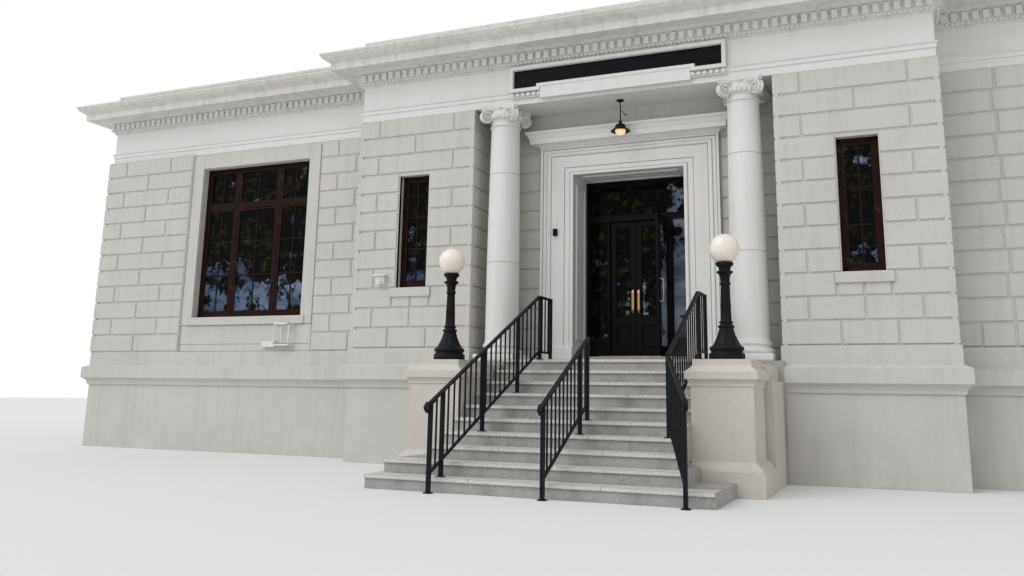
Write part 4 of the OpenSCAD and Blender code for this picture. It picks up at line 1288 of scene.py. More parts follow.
@dataclass
class Leaf:
    """One glazed leaf, modelled from outside with its hinge edge at X = 0 and then put in place."""

    side: str
    place: Matrix
    width: float
    inner: bool
    foot: float = 1.765
    height: float = 2.28
    depth: float = 0.045
    stile: float = 0.095
    low_rail: float = 0.15
    glass_foot: float = 0.685
    panel_y: Point = (0.016, 0.008)
    panel_in: float = 0.035
    panel_rise: float = 0.185
    lap: float = 0.01
    skin: float = 0.001
    bead: Profile = ((0.0, 0.0), (0.002, 0.003), (0.008, 0.004), (0.014, -0.002), (0.016, -0.010))
    bead_in: float = 0.004
    bead_back: float = 0.012
    glass_half: float = 0.004
    pull_length: float = 0.38
    pull_radius: float = 0.009
    pull_bend: Place = (0.012, 0.03, 0.05)
    hinge_shares: Place = (0.08, 0.5, 0.92)
    hinge: Hinge = Hinge()

    def build(self) -> None:
        """Builds the leaf's frame, glass and pull."""
        node, body = f"{self.side}_door", f"{self.side}_leaf"
        frame = Bench.join([Bench.bevel(Bench.join(self.wood()), 0.003), *self.beads(), *self.knuckles()])
        Bench.settle(Bench.move(frame, self.place), f"{self.side}_leaf_frame", BLACK_PAINT, Slot.BLACK_PAINT,
                     body, [node])
        middle, lap = self.depth / 2, self.lap
        sheet = Bench.block((self.stile - lap, middle - self.glass_half, self.glass_z() - lap),
                            (self.width - self.stile + lap, middle + self.glass_half,
                             self.foot + self.height - self.stile + lap), 0.001, 1)
        Bench.settle(Bench.move(sheet, self.place), f"{self.side}_leaf_glass", DOOR_GLASS, None, body, [node])
        Bench.settle(Bench.move(self.pull(), self.place), f"{self.side}_leaf_pull",
                     BRASS if self.inner else STEEL, None, body, [node], smooth=40)

    def glass_z(self) -> float:
        """Returns the height of the glass's foot."""
        return self.foot + (self.glass_foot if self.inner else self.low_rail)

    def wood(self) -> list[Object]:
        """Makes the stiles, the rails and, on an inner leaf, the panel below the glass.

        Returns:
            Their blocks.
        """
        foot, top, glass, skin = self.foot, self.foot + self.height, self.glass_z(), self.skin
        a, b, rail, lap = self.stile, self.width - self.stile, self.low_rail, self.lap
        low, high, inset, rise = a - lap, b + lap, self.panel_in, self.panel_rise
        boxes = [(0, a, foot, top, 0), (b, self.width, foot, top, 0), (low, high, top - a, top, skin),
                 (low, high, foot, foot + rail, skin)]
        if self.inner:
            field, raised = self.panel_y
            boxes += [(low, high, glass - rail, glass, skin),
                      (low, high, foot + rail - lap, glass - rail + lap, field),
                      (a + inset, b - inset, foot + rise, glass - rise, raised)]
        return [Bench.block((x0, thin, z0), (x1, self.depth - thin, z1)) for x0, x1, z0, z1, thin in boxes]

    def beads(self) -> list[Object]:
        """Makes the beads round the glass and the panel, on both faces.

        Returns:
            The beads.
        """
        past, a, b, glass = self.bead_in, self.stile, self.width - self.stile, self.glass_z()
        fields = [(glass, self.foot + self.height - self.stile)]
        if self.inner:
            fields.append((self.foot + self.low_rail, glass - self.low_rail))
        outside = [Moulding.ring((a - past, z0 - past), (b + past, z1 + past), self.bead, self.bead_back)
                   for z0, z1 in fields]
        return outside + [Bench.twin(bead, at(self.width, self.depth) @ turned(180)) for bead in outside]

    @classmethod
    def hinge_feet(cls) -> list[float]:
        """Returns the height of each hinge's foot."""
        low, middle, high = (share * cls.height for share in cls.hinge_shares)
        return [cls.foot + z for z in (low, middle, high - cls.hinge.height)]

    def knuckles(self) -> list[Object]:
        """Returns the hinges' moving knuckles."""
        return [self.hinge.moving(foot, self.depth, self.inner) for foot in self.hinge_feet()]

    def pull(self) -> Object:
        """Makes a bow pull on two feet, with end roses and collars, broad and flat on an inner leaf.

        Returns:
            The pull.
        """
        x = self.width - self.stile * (0.5 if self.inner else 0.6)
        foot, stand, broad = (2.50, 0.038, 3.0) if self.inner else (2.61, 0.06, 1.0)
        length, (end, bend, collar) = self.pull_length, self.pull_bend
        path = [(x, 0.0, foot + end), (x, -stand + end, foot + end), (x, -stand, foot + bend)]
        path += [(x, -stand, foot + length * k / 6) for k in range(1, 6)]
        path += [(x, -stand, foot + length - bend), (x, -stand + end, foot + length - end),
                 (x, 0.0, foot + length - end)]
        grip = Bench.move(Bench.tube(path, self.pull_radius, sides=3),
                          at(x) @ Matrix.Scale(broad, 4, (1, 0, 0)) @ at(-x))
        roses = [Bench.ball((x, -0.003, foot + z), (0.016, 0.006, 0.02)) for z in (end, length - end)]
        collars = [Bench.ball((x, -stand, foot + z), (0.0125, 0.0125, 0.008))
                   for z in (collar, length / 2, length - collar)]
        return Bench.join([grip, *roses, *collars])


@dataclass
class Entrance:
    """The architrave, its cornice, the panelled reveal, the glazed screen and the three leaves."""

    half: float = 0.93
    foot: float = 1.65
    floor: float = 1.75
    head: float = 4.752
    architrave: Profile = (
        (0, 0.060), (0.010, 0.068), (0.044, 0.068), (0.056, 0.058), (0.058, 0.028), (0.068, 0.028),
        (0.070, 0.044), (0.148, 0.044), (0.150, 0.026), (0.161, 0.026), (0.163, 0.054), (0.383, 0.054),
        (0.385, 0.034), (0.396, 0.034), (0.398, 0.062), (0.408, 0.068), (0.430, 0.078), (0.456, 0.080),
        (0.458, 0.052), (0.468, 0.052), (0.470, 0.070), (0.520, 0.070), (0.522, 0.046), (0.533, 0.046),
        (0.535, 0.084), (0.546, 0.092), (0.57, 0.094))
    lintel_share: float = 0.86
    plinth: Place = (0.575, 0.1, 0.255)
    cornice: Profile = (
        (-0.03, -0.03), (0.0, 0.0), (0.018, 0.006), (0.024, 0.022), (0.045, 0.038), (0.072, 0.048),
        (0.078, 0.055), (0.150, 0.055), (0.154, 0.060), (0.154, 0.138), (0.162, 0.142), (0.166, 0.152),
        (0.172, 0.160), (0.180, 0.188), (0.196, 0.212), (0.212, 0.226), (0.215, 0.232), (0.215, 0.262),
        (0.02, 0.275))
    cornice_plan: tuple[Point, Point] = ((-1.5, -0.08), (1.5, 0.012))
    panel: Profile = ((0.0, 0.0), (0.006, 0.012), (0.016, 0.016), (0.026, 0.012), (0.034, 0.004),
                      (0.046, 0.004), (0.05, 0.0))
    panel_y: Point = (0.10, 0.53)
    panel_z: Point = (2.02, 4.62)
    soffit_half: float = 0.80
    screen: Point = (1.38, 1.48)
    lining: float = 0.9
    light: float = 0.875
    head_rail: float = 4.645
    side_rail: Point = (2.0, 2.08)
    posts: tuple[Point, Point] = ((-0.5565, -0.5115), (0.5295, 0.5745))
    bar: Point = (4.05, 4.16)
    inner_y: float = 1.435
    inner_pins: tuple[Place, Place] = ((-0.509, 1.494, -0.02), (0.527, 1.494, 0.02))
    outer_pin: Place = (0.5445, 1.316, 0.016)
    outer_turn: float = 84.0
    plate: tuple[Point, Point] = ((-0.505, 0.522), (-0.004, 0.007))
    ridge_ys: Place = (1.392, 1.420, 1.448)

    def build(self) -> None:
        """Builds the whole entrance."""
        self.surround()
        self.reveal()
        self.glazed_screen()
        self.threshold()
        self.pins()
        (x, y, _), (pin_x, pin_y) = self.outer_pin, Leaf.hinge.centre
        open_place = at(x, y) @ turned(self.outer_turn) @ MIRROR @ at(-pin_x, pin_y)
        for leaf in (Leaf("left", at(-0.5065, self.inner_y), 0.434, True),
                     Leaf("right", at(0.5245, self.inner_y) @ MIRROR, 0.592, True),
                     Leaf("outer", open_place, 0.515, False)):
            leaf.build()

    def surround(self) -> None:
        """Builds the architrave with its plinth blocks and its cornice."""
        width, out, height = self.plinth
        band = Moulding.gate(self.half, self.foot + 0.25, self.head, self.architrave, self.lintel_share,
                             0.015)
        block = Bench.block((self.half, -out, self.foot + 0.001),
                            (self.half + width, 0.015, self.foot + height), 0.008)
        hood = Moulding.crown(*self.cornice_plan, self.head + self.architrave[-1][0] * self.lintel_share,
                              self.cornice)
        whole = Bench.move(Bench.join([band, *Bench.pair(block), hood]), at(0, PLAN.wing_y))
        Bench.settle(whole, "entrance_architrave", TRIM, Slot.TRIM, replaces=["door_surround"])

    def reveal(self) -> None:
        """Builds the panel mouldings on the deep reveal."""
        (y0, y1), (z0, z1) = self.panel_y, self.panel_z
        jamb = Moulding.ring((y0, z0), (y1, z1), self.panel, 0.004)
        jambs = Bench.pair(Bench.move(jamb, at(-self.half, PLAN.wing_y) @ turned(90)))
        soffit = Moulding.ring((-self.soffit_half, y0), (self.soffit_half, y1), self.panel, 0.004)
        Bench.move(soffit, at(0, PLAN.wing_y, self.head) @ Matrix.Scale(-1, 4, (0, 0, 1))
                   @ Matrix.Rotation(math.radians(-90), 4, "X"))
        Bench.settle(Bench.join([*jambs, soffit]), "reveal_panels", TRIM, Slot.TRIM)

    def glazed_screen(self) -> None:
        """Builds the screen's lining, its frames and its glass."""
        (y0, y1), (low, high), (bar_foot, bar_head) = self.screen, self.posts, self.bar
        side, light, foot, top = self.lining, self.light, self.floor + 0.01, self.head - 0.03
        wall, under = self.half - 0.001, self.head - 0.001
        lining = [Bench.block((a, y0 - 0.004, c), (b, y1, under))
                  for a, b, c in ((-wall, -side, foot), (side, wall, foot), (-side, side, top))]
        Bench.settle(Bench.bevel(Bench.join(lining), 0.003), "screen_lining", MAHOGANY, Slot.DARK_WOOD)
        rail_foot, rail_head = self.side_rail
        frames = [(-side, -light, foot, top, 0.0), (light, side, foot, top, 0.0),
                  (*low, foot, bar_foot + 0.02, 0.0), (*high, foot, bar_foot + 0.02, 0.0),
                  (-light, light, bar_foot, bar_head, 0.003), (-light, light, self.head_rail, top, 0.003)]
        for a, b in ((-light, low[0]), (high[1], light)):
            frames += [(a, b, foot, foot + 0.12, 0.003), (a, b, rail_foot, rail_head, 0.003),
                       (a, b, foot + 0.1, rail_foot + 0.02, 0.02)]
        blocks = [Bench.block((a, y0 + thin, c), (b, y1 - thin, d)) for a, b, c, d, thin in frames]
        Bench.settle(Bench.bevel(Bench.join(blocks), 0.004), "screen_frames", BLACK_PAINT, Slot.BLACK_PAINT,
                     replaces=["door_screen"])
        middle, lap = (y0 + y1) / 2, 0.01
        sheets = [Bench.block((a, middle - 0.005, c), (b, middle + 0.005, d)) for a, b, c, d in (
            (-light - lap, light + lap, bar_head - lap, self.head_rail + lap),
            (-light - lap, low[0] + lap, rail_head - lap, bar_foot + lap),
            (high[1] - lap, light + lap, rail_head - lap, bar_foot + lap))]
        Bench.settle(Bench.bevel(Bench.join(sheets), 0.001, 1), "screen_glass", DOOR_GLASS, None,
                     replaces=["door_screen"])

    def threshold(self) -> None:
        """Builds the brass plate on the sill, with its ridges."""
        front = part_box("door_sill")[0].y
        (left, right), (foot, top) = self.plate
        plate = Bench.block((left, front - 0.002, self.floor + foot), (right, 1.474, self.floor + top), 0.002)
        ridges = [Bench.block((left + 0.005, y, self.floor + 0.005),
                              (right - 0.005, y + 0.008, self.floor + 0.0085), 0.001, 1)
                  for y in self.ridge_ys]
        Bench.settle(Bench.join([plate, *ridges]), "threshold_plate", BRASS, None)

    def pins(self) -> None:
        """Builds the hinge halves that stay on the screen's posts."""
        front, back = self.screen
        parts = []
        for (x, y, reach), post_y in ((self.inner_pins[0], back - 0.002), (self.inner_pins[1], back - 0.002),
                                      (self.outer_pin, front + 0.002)):
            for foot in Leaf.hinge_feet():
                parts += Leaf.hinge.fixed(x, y, foot, reach, post_y)
        Bench.settle(Bench.join(parts), "hinge_pins", BLACK_PAINT, Slot.BLACK_PAINT, smooth=40)


@dataclass
class Column:
    """One column and its capital, modelled at the origin on the portico floor and copied to both places."""

    places: tuple[Point, Point] = ((-1.969, 0.223), (1.969, 0.223))
    foot: float = 1.65
    neck: float = 5.502
    top: float = 5.842
    low_r: float = 0.268
    high_r: float = 0.238
    plinth: float = 0.345
    plinth_h: float = 0.105
    tori: tuple[Place, Place] = ((0.305, 0.036, 0.036), (0.286, 0.142, 0.017))
    tori_turns: tuple[tuple[float, ...], ...] = ((0.2, 0.8, 1.57, 2.34, 2.94), (0.3, 0.95, 1.57, 2.2, 2.85))
    scotia: Profile = (
        (0.302, 0.074), (0.302, 0.082), (0.288, 0.092), (0.282, 0.108), (0.290, 0.118), (0.290, 0.124))
    flare: Profile = ((0.286, 0.163), (0.286, 0.176), (0.276, 0.19), (0.2695, 0.215))
    shaft_z: tuple[float, ...] = (2.005, 2.5, 3.0, 3.7, 4.1, 4.9, 5.2, 5.472)
    drums: Point = (3.23, 4.70)
    joint: Point = (0.005, 0.007)
    joint_depth: float = 0.014
    bell: Profile = (
        (0.0, 0.006), (0.24, 0.006), (0.250, 0.010), (0.256, 0.018), (0.250, 0.027), (0.240, 0.032),
        (0.240, 0.105), (0.246, 0.110), (0.252, 0.118), (0.262, 0.135), (0.290, 0.175), (0.300, 0.20),
        (0.290, 0.215), (0.27, 0.225), (0.27, 0.285), (0.0, 0.285))
    eggs: int = 24
    abacus: float = 0.34
    abacus_edge: Profile = (
        (0.030, -0.062), (0.012, -0.058), (0.006, -0.040), (0.012, -0.034), (0.012, -0.030),
        (0.0, -0.026), (0.0, -0.0005))
    abacus_cut: float = 0.045
    abacus_hollow: float = 0.075
    abacus_steps: int = 10
    scroll: Place = (0.345, 0.178, 0.104)
    scroll_rim: Profile = (
        (0.0, 0.018), (0.030, 0.018), (0.060, 0.018), (0.082, 0.022), (0.092, 0.034), (0.103, 0.026),
        (0.097, 0.010))
    scroll_waist: float = 0.095
    scroll_turns: float = 2.0
    scroll_steps: int = 60
    scroll_start: float = 100.0
    eye_r: float = 0.012
    cord_r: float = 0.0145
    cord_y: Point = (0.034, 0.013)
    cord_taper: float = 0.45
    arm: tuple[tuple[float, ...], ...] = (
        (0.17, 0.036, 0.235, 0.283), (0.28, 0.040, 0.225, 0.283), (0.36, 0.042, 0.24, 0.285),
        (0.395, 0.036, 0.262, 0.284))
    petals: tuple[float, ...] = (0.3, 1.56, 2.81, 4.07, 5.33)

    def build(self) -> None:
        """Builds both columns and both capitals."""
        places = [at(*place) for place in self.places]
        columns, capitals = Bench.spread(self.column(), places), Bench.spread(self.capital(), places)
        for side, *pieces in zip(("left", "right"), columns, capitals):
            for piece, what in zip(pieces, ("column", "capital")):
                Bench.settle(piece, f"{side}_{what}_stone", TRIM, Slot.TRIM, replaces=[f"{side}_{what}"],
                             smooth=35)

    def radius(self, z: float) -> float:
        """Returns the shaft's radius at a height, with its gentle swelling."""
        share = (z - self.foot) / (self.neck - self.foot)
        return self.low_r - (self.low_r - self.high_r) * max(0.0, (share - 0.3) / 0.7) ** 1.4

    def column(self) -> Object:
        """Makes the plinth, the base mouldings and the shaft in three drums.

        Returns:
            The column.
        """
        z = self.foot + self.plinth_h
        rolls = [[(r + size * math.sin(a), z + rise - size * math.cos(a)) for a in turns]
                 for (r, rise, size), turns in zip(self.tori, self.tori_turns)]
        base = [(0.0, z - 0.01), (0.30, z - 0.01), *rolls[0], *((r, z + h) for r, h in self.scotia),
                *rolls[1], *((r, z + h) for r, h in self.flare)]
        joints = [d + s * step for d in self.drums for step in self.joint for s in (-1, 1)]
        shaft = []
        for h in sorted((*self.shaft_z, *joints)):
            in_joint = min(abs(h - d) for d in self.drums) < sum(self.joint) / 2
            shaft.append((self.radius(h) - (self.joint_depth if in_joint else 0.0), h))
        neck = [(self.high_r + 0.004, self.neck - 0.01), (self.high_r + 0.006, self.neck + 0.006),
                (0.0, self.neck + 0.006)]
        block = Bench.block((-self.plinth, -self.plinth, self.foot + 0.0005),
                            (self.plinth, self.plinth, z), 0.006)
        return Bench.join([Bench.lathe([*base, *shaft, *neck], steps=72), block])

    def capital(self) -> Object:
        """Makes the bell, the eggs, four diagonal volutes and the curved abacus.

        Returns:
            The capital.
        """
        z, spin = self.neck, 360 / self.eggs
        parts = [Bench.lathe(self.bell, (0, 0, z), 64), self.abacus_slab()]
        egg = Bench.ball((0.282, 0, z + 0.168), (0.024, 0.026, 0.042), 10, 8)
        dart = Bench.ball((0.278, 0, z + 0.155), (0.014, 0.008, 0.036), 6, 6)
        bead = Bench.ball((0.253, 0, z + 0.018), (0.011, 0.014, 0.011), 8, 6)
        for piece, first, count, step in ((egg, 0.0, self.eggs, spin), (dart, spin / 2, self.eggs, spin),
                                          (bead, spin / 4, 2 * self.eggs, spin / 2),
                                          (self.volute(), 45.0, 4, 90.0), (self.boss(), 0.0, 4, 90.0)):
            parts += Bench.spread(piece, [turned(first + k * step) for k in range(count)])
        return Bench.join(parts)

    def abacus_slab(self) -> Object:
        """Makes the abacus: cut corners, hollow sides and a moulded edge.

        Returns:
            The abacus.
        """
        rings = []
        shares = [2 * k / self.abacus_steps - 1 for k in range(self.abacus_steps + 1)]
        for shrink, z in self.abacus_edge:
            half = self.abacus - shrink
            side = [(half - self.abacus_hollow * (1 - t ** 2), (half - self.abacus_cut) * t) for t in shares]
            rings.append([(c * x - s * y, s * x + c * y, self.top + z)
                          for c, s in ((1, 0), (0, 1), (-1, 0), (0, -1)) for x, y in side])
        return Bench.loft(rings)

    def volute(self) -> Object:
        """Makes one volute in the plane of X and Z, its spiral raised on both faces.

        Returns:
            The volute with its arm below the abacus.
        """
        x0, rise, r = self.scroll
        z0 = self.neck + rise
        rim = [*((u, -v) for u, v in self.scroll_rim), (self.scroll_waist, 0.0), *self.scroll_rim[::-1]]
        disc = Bench.lathe(rim, steps=36)
        parts = [Bench.move(disc, at(x0, 0, z0) @ Matrix.Rotation(math.pi / 2, 4, "X"))]
        for side in (-1, 1):
            path, taper = [], []
            for t in (k / self.scroll_steps for k in range(self.scroll_steps + 1)):
                angle = math.radians(self.scroll_start) - t * self.scroll_turns * 2 * math.pi
                reach = r * (1 - t) ** 0.85 * 0.93 + self.eye_r
                path.append((x0 + reach * math.cos(angle), side * (self.cord_y[0] + self.cord_y[1] * t),
                             z0 + reach * math.sin(angle)))
                taper.append(1.0 - self.cord_taper * t)
            parts.append(Bench.tube(path, self.cord_r, taper))
            parts.append(Bench.ball((x0, side * 0.038, z0), (0.020, 0.020, 0.020)))
        arm = [[(x, s * w, self.neck + z) for s, z in ((-1, low), (1, low), (1, high), (-1, high))]
               for x, w, low, high in self.arm]
        return Bench.join([*parts, Bench.bevel(Bench.loft(arm), 0.004, 1)])

    def boss(self) -> Object:
        """Makes the flower in the middle of the abacus's hollow side.

        Returns:
            The flower.
        """
        x, z, ring = 0.272, self.top - 0.035, 0.021
        heart = Bench.ball((x + 0.012, 0, z), (0.016, 0.014, 0.014), 10, 8)
        petals = [Bench.ball((x + 0.004, ring * math.cos(a), z + ring * math.sin(a)),
                             (0.012, 0.015, 0.015), 8, 6) for a in self.petals]
        return Bench.join([heart, *petals])


@dataclass
class Ornament:
    """The sign's stepped frame and the rows of dentils and eggs."""

    half: float = 1.78
    low: float = 6.032
    top: float = 6.475
    step_x: float = 1.24
    step_z: float = 6.084
    edge: Profile = (
        (0.0, 0.062), (0.004, 0.069), (0.012, 0.071), (0.020, 0.066), (0.052, 0.066), (0.056, 0.060),
        (0.064, 0.052))
    panel_y: float = -0.0305
    strip_y: Point = (-0.088, -0.012)
    strip_foot: float = 5.893
    sign_eggs_n: int = 6
    sign_egg_step: float = 0.094
    dentil_z: Point = (6.565, 6.689)
    dentil_w: float = 0.085
    pitch: float = 0.14
    band: float = 0.07
    reach: float = 0.052
    bury: float = 0.004
    corner_gap: float = 0.05
    egg_z: float = 6.533

    def build(self) -> None:
        """Builds the sign's frame and all rows."""
        x, step = self.half, self.step_x
        corners = [(-x, self.low), (-step, self.low), (-step, self.step_z), (step, self.step_z),
                   (step, self.low), (x, self.low), (x, self.top), (-x, self.top)]
        strip = Bench.block((-step + 0.004, self.strip_y[0], self.strip_foot),
                            (step - 0.004, self.strip_y[1], self.step_z + 0.002), 0.003, 1)
        frame = Bench.join([Moulding.around(corners, self.edge, self.panel_y), strip])
        Bench.settle(frame, "sign_moulding", TRIM, Slot.TRIM, replaces=["sign_frame"])
        Bench.settle(self.sign_eggs(), "sign_eggs", TRIM, Slot.TRIM, smooth=50)
        Bench.settle(self.dentils(), "dentils", TRIM, Slot.TRIM)
        Bench.settle(self.beads(), "egg_rows", TRIM, Slot.TRIM, smooth=50)

    def sign_eggs(self) -> Object:
        """Makes the short rows of large eggs below both ends of the sign.

        Returns:
            Both rows.
        """
        count, step = self.sign_eggs_n, (self.sign_egg_step, 0, 0)
        egg = Bench.ball((-self.half + 0.045, -0.043, self.low - 0.045), (0.041, 0.040, 0.041), 14, 10)
        shell = Bench.ball((-self.half + 0.092, -0.036, self.low - 0.052), (0.010, 0.018, 0.032), 8, 8)
        fillet = Bench.block((-self.half, -0.046, self.low - 0.094),
                             (-self.half + 0.565, -0.012, self.low - 0.078), 0.003)
        row = Bench.join([Bench.repeat(egg, count, step), Bench.repeat(shell, count - 1, step), fillet])
        return Bench.join(Bench.pair(row))

    def runs(self) -> list[tuple[Matrix, float, float]]:
        """Lists the straight lengths of the cornice.

        Returns:
            Each one's place and its ends along u.
        """
        out, gap = self.band, self.band + self.corner_gap
        front, side, pavilion, rear = PLAN.wing_y, PLAN.side_x, PLAN.pavilion_x, PLAN.rear_y
        return [(at(0), -pavilion - out, pavilion + out),
                (at(0, front), pavilion + gap, side + out), (at(0, front), -side - out, -pavilion - gap),
                (at(side) @ turned(90), front - out, rear + out),
                (at(-side) @ turned(-90), -rear - out, -front + out),
                (at(pavilion) @ turned(90), -out, front - gap),
                (at(-pavilion) @ turned(-90), -front + gap, out),
                (at(0, rear) @ turned(180), -side - out, side + out)]

    def dentils(self) -> Object:
        """Makes the dentils of every length, with the fillet above them.

        Returns:
            All rows.
        """
        rows, (foot, head) = [], self.dentil_z
        inside = -self.band + self.bury
        for place, low, high in self.runs():
            count = max(1, int((high - low - self.dentil_w) / self.pitch) + 1)
            start = (low + high - (count - 1) * self.pitch - self.dentil_w) / 2
            tooth = Bench.block((start, -self.band - self.reach, foot), (start + self.dentil_w, inside, head),
                                0.004, 1)
            fillet = Bench.block((low, -self.band - 0.016, head - 0.004), (high, inside, head + 0.012),
                                 0.003, 1)
            rows += [Bench.move(piece, place)
                     for piece in (Bench.repeat(tooth, count, (self.pitch, 0, 0)), fillet)]
        return Bench.join(rows)

    def beads(self) -> Object:
        """Makes the rows of small eggs below the dentils, on all lengths but the rear one.

        Returns:
            All rows.
        """
        rows, step = [], self.pitch / 2
        for place, low, high in self.runs()[:-1]:
            count = max(1, int((high - low) / step) - 1)
            start = (low + high - (count - 1) * step) / 2
            egg = Bench.ball((start, -self.band + self.bury, self.egg_z), (0.024, 0.022, 0.026), 8, 6)
            rows.append(Bench.move(Bench.repeat(egg, count, (step, 0, 0)), place))
        return Bench.join(rows)


@dataclass
class GlobeLamp:
    """A cast-iron lamp post with a fluted bell and shaft, and its opal globe."""

    xs: Point = (-1.95, 1.95)
    y: float = -1.625
    foot: float = 1.592
    seat: float = 2.828
    globe: float = 0.191
    globe_neck: float = 0.072
    globe_steps: int = 40
    flutes: int = 12
    fluted: tuple[Place, ...] = ((0.189, 0.372, 0.07), (0.499, 0.676, 0.13), (0.696, 0.946, 0.13))
    profile: Profile = (
        (0.0, 0.0005), (0.216, 0.0005), (0.220, 0.006), (0.220, 0.078), (0.214, 0.088), (0.200, 0.092),
        (0.196, 0.098), (0.196, 0.112), (0.204, 0.120), (0.213, 0.132), (0.214, 0.150), (0.206, 0.166),
        (0.188, 0.174), (0.182, 0.182), (0.172, 0.190), (0.160, 0.214), (0.136, 0.262), (0.112, 0.316),
        (0.096, 0.370), (0.088, 0.398), (0.092, 0.402), (0.103, 0.412), (0.104, 0.424), (0.096, 0.434),
        (0.080, 0.438), (0.076, 0.446), (0.078, 0.462), (0.088, 0.468), (0.090, 0.476), (0.084, 0.484),
        (0.070, 0.488), (0.069, 0.50), (0.066, 0.60), (0.064, 0.675), (0.068, 0.680), (0.068, 0.692),
        (0.063, 0.697), (0.060, 0.80), (0.057, 0.90), (0.056, 0.945), (0.068, 0.950), (0.072, 0.962),
        (0.068, 0.974), (0.057, 0.978), (0.058, 1.00), (0.064, 1.05), (0.078, 1.085), (0.098, 1.098),
        (0.106, 1.108), (0.104, 1.118), (0.088, 1.124), (0.074, 1.130), (0.072, 1.146), (0.076, 1.166),
        (0.090, 1.184), (0.104, 1.194), (0.111, 1.206), (0.111, 1.226), (0.106, 1.2355), (0.0, 1.2355))
    lug: tuple[Place, Place] = ((0.182, -0.022, 0.008), (0.223, 0.022, 0.07))
    lugs: int = 8

    def build(self) -> None:
        """Builds both lamps."""
        places = [at(x, self.y) for x in self.xs]
        posts, globes = Bench.spread(self.post(), places), Bench.spread(self.ball(), places)
        for side, post, globe in zip(("left", "right"), posts, globes):
            for piece, what, finish, slot in ((post, "lamp_post", IRON, Slot.BLACK_IRON),
                                              (globe, "globe", OPAL, Slot.OPAL_GLASS)):
                Bench.settle(piece, f"{side}_{what}_shown", finish, slot, replaces=[f"{side}_{what}"],
                             smooth=50)

    def post(self) -> Object:
        """Makes the post, turned and then fluted, with the lugs round its foot.

        Returns:
            The post.
        """
        post = Bench.lathe(self.profile, steps=144)
        for vertex in post.data.vertices:
            depth = sum(deep for low, high, deep in self.fluted if low < vertex.co.z < high)
            if depth and math.hypot(vertex.co.x, vertex.co.y) > 0.01:
                angle = math.atan2(vertex.co.y, vertex.co.x)
                vertex.co.xy *= 1 - depth * abs(math.sin(angle * self.flutes / 2)) ** 0.7
        lug = Bench.block(*self.lug, 0.006)
        lugs = Bench.spread(lug, [turned(360 / self.lugs * k) for k in range(self.lugs)])
        return Bench.move(Bench.join([post, *lugs]), at(0, 0, self.foot))

    def ball(self) -> Object:
        """Makes the globe with its narrow neck.

        Returns:
            The globe.
        """
        low, foot = self.globe_neck, self.seat + 0.0005
        drop = math.sqrt(self.globe ** 2 - low ** 2)
        middle, start = self.seat + drop, -math.asin(drop / self.globe)
        turns = [start + (math.pi / 2 - start) * k / self.globe_steps for k in range(1, self.globe_steps)]
        arc = [(self.globe * math.cos(a), middle + self.globe * math.sin(a)) for a in turns]
        return Bench.lathe([(0.0, foot), (low, foot), *arc, (0.0, middle + self.globe)], steps=72)


@dataclass
class HangingLamp:
    """The lamp over the entrance: canopy, stem, hook, domed shade with a wide brim, and its lit glass."""

    place: Place = (0.0, 0.34, 5.842)
    metal: Profile = (
        (0.0, -0.001), (0.060, -0.001), (0.062, -0.008), (0.058, -0.018), (0.040, -0.028), (0.016, -0.032),
        (0.009, -0.045), (0.009, -0.340), (0.020, -0.348), (0.026, -0.362), (0.020, -0.378), (0.034, -0.398),
        (0.064, -0.410), (0.082, -0.430), (0.088, -0.456), (0.092, -0.472), (0.122, -0.492), (0.152, -0.514),
        (0.158, -0.522), (0.157, -0.528), (0.148, -0.526), (0.110, -0.506), (0.084, -0.494), (0.0, -0.486))
    glass: Profile = (
        (0.0, -0.488), (0.078, -0.496), (0.084, -0.508), (0.083, -0.532), (0.070, -0.560), (0.046, -0.578),
        (0.020, -0.585), (0.0, -0.586))
    hook: Profile = (
        (0.0, -0.222), (0.006, -0.200), (0.022, -0.190), (0.040, -0.200), (0.056, -0.228), (0.074, -0.252),
        (0.090, -0.262))
    hook_r: float = 0.006
    hook_end: Place = (0.094, 0.0, -0.262)
    hook_ball: Place = (0.016, 0.014, 0.014)

    def build(self) -> None:
        """Builds the metal and the glass."""
        x, y, z = self.place
        parts = [Bench.lathe(self.metal, self.place),
                 Bench.tube([(x + out, y, z + drop) for out, drop in self.hook], self.hook_r),
                 Bench.ball([a + b for a, b in zip(self.place, self.hook_end)], self.hook_ball)]
        Bench.settle(Bench.join(parts), "hanging_lamp_metal", IRON, Slot.BLACK_IRON,
                     replaces=["hanging_lamp"], smooth=40)
        Bench.settle(Bench.lathe(self.glass, self.place), "hanging_lamp_glass", LIT_GLASS,
                     Slot.OPAL_GLASS, smooth=40)


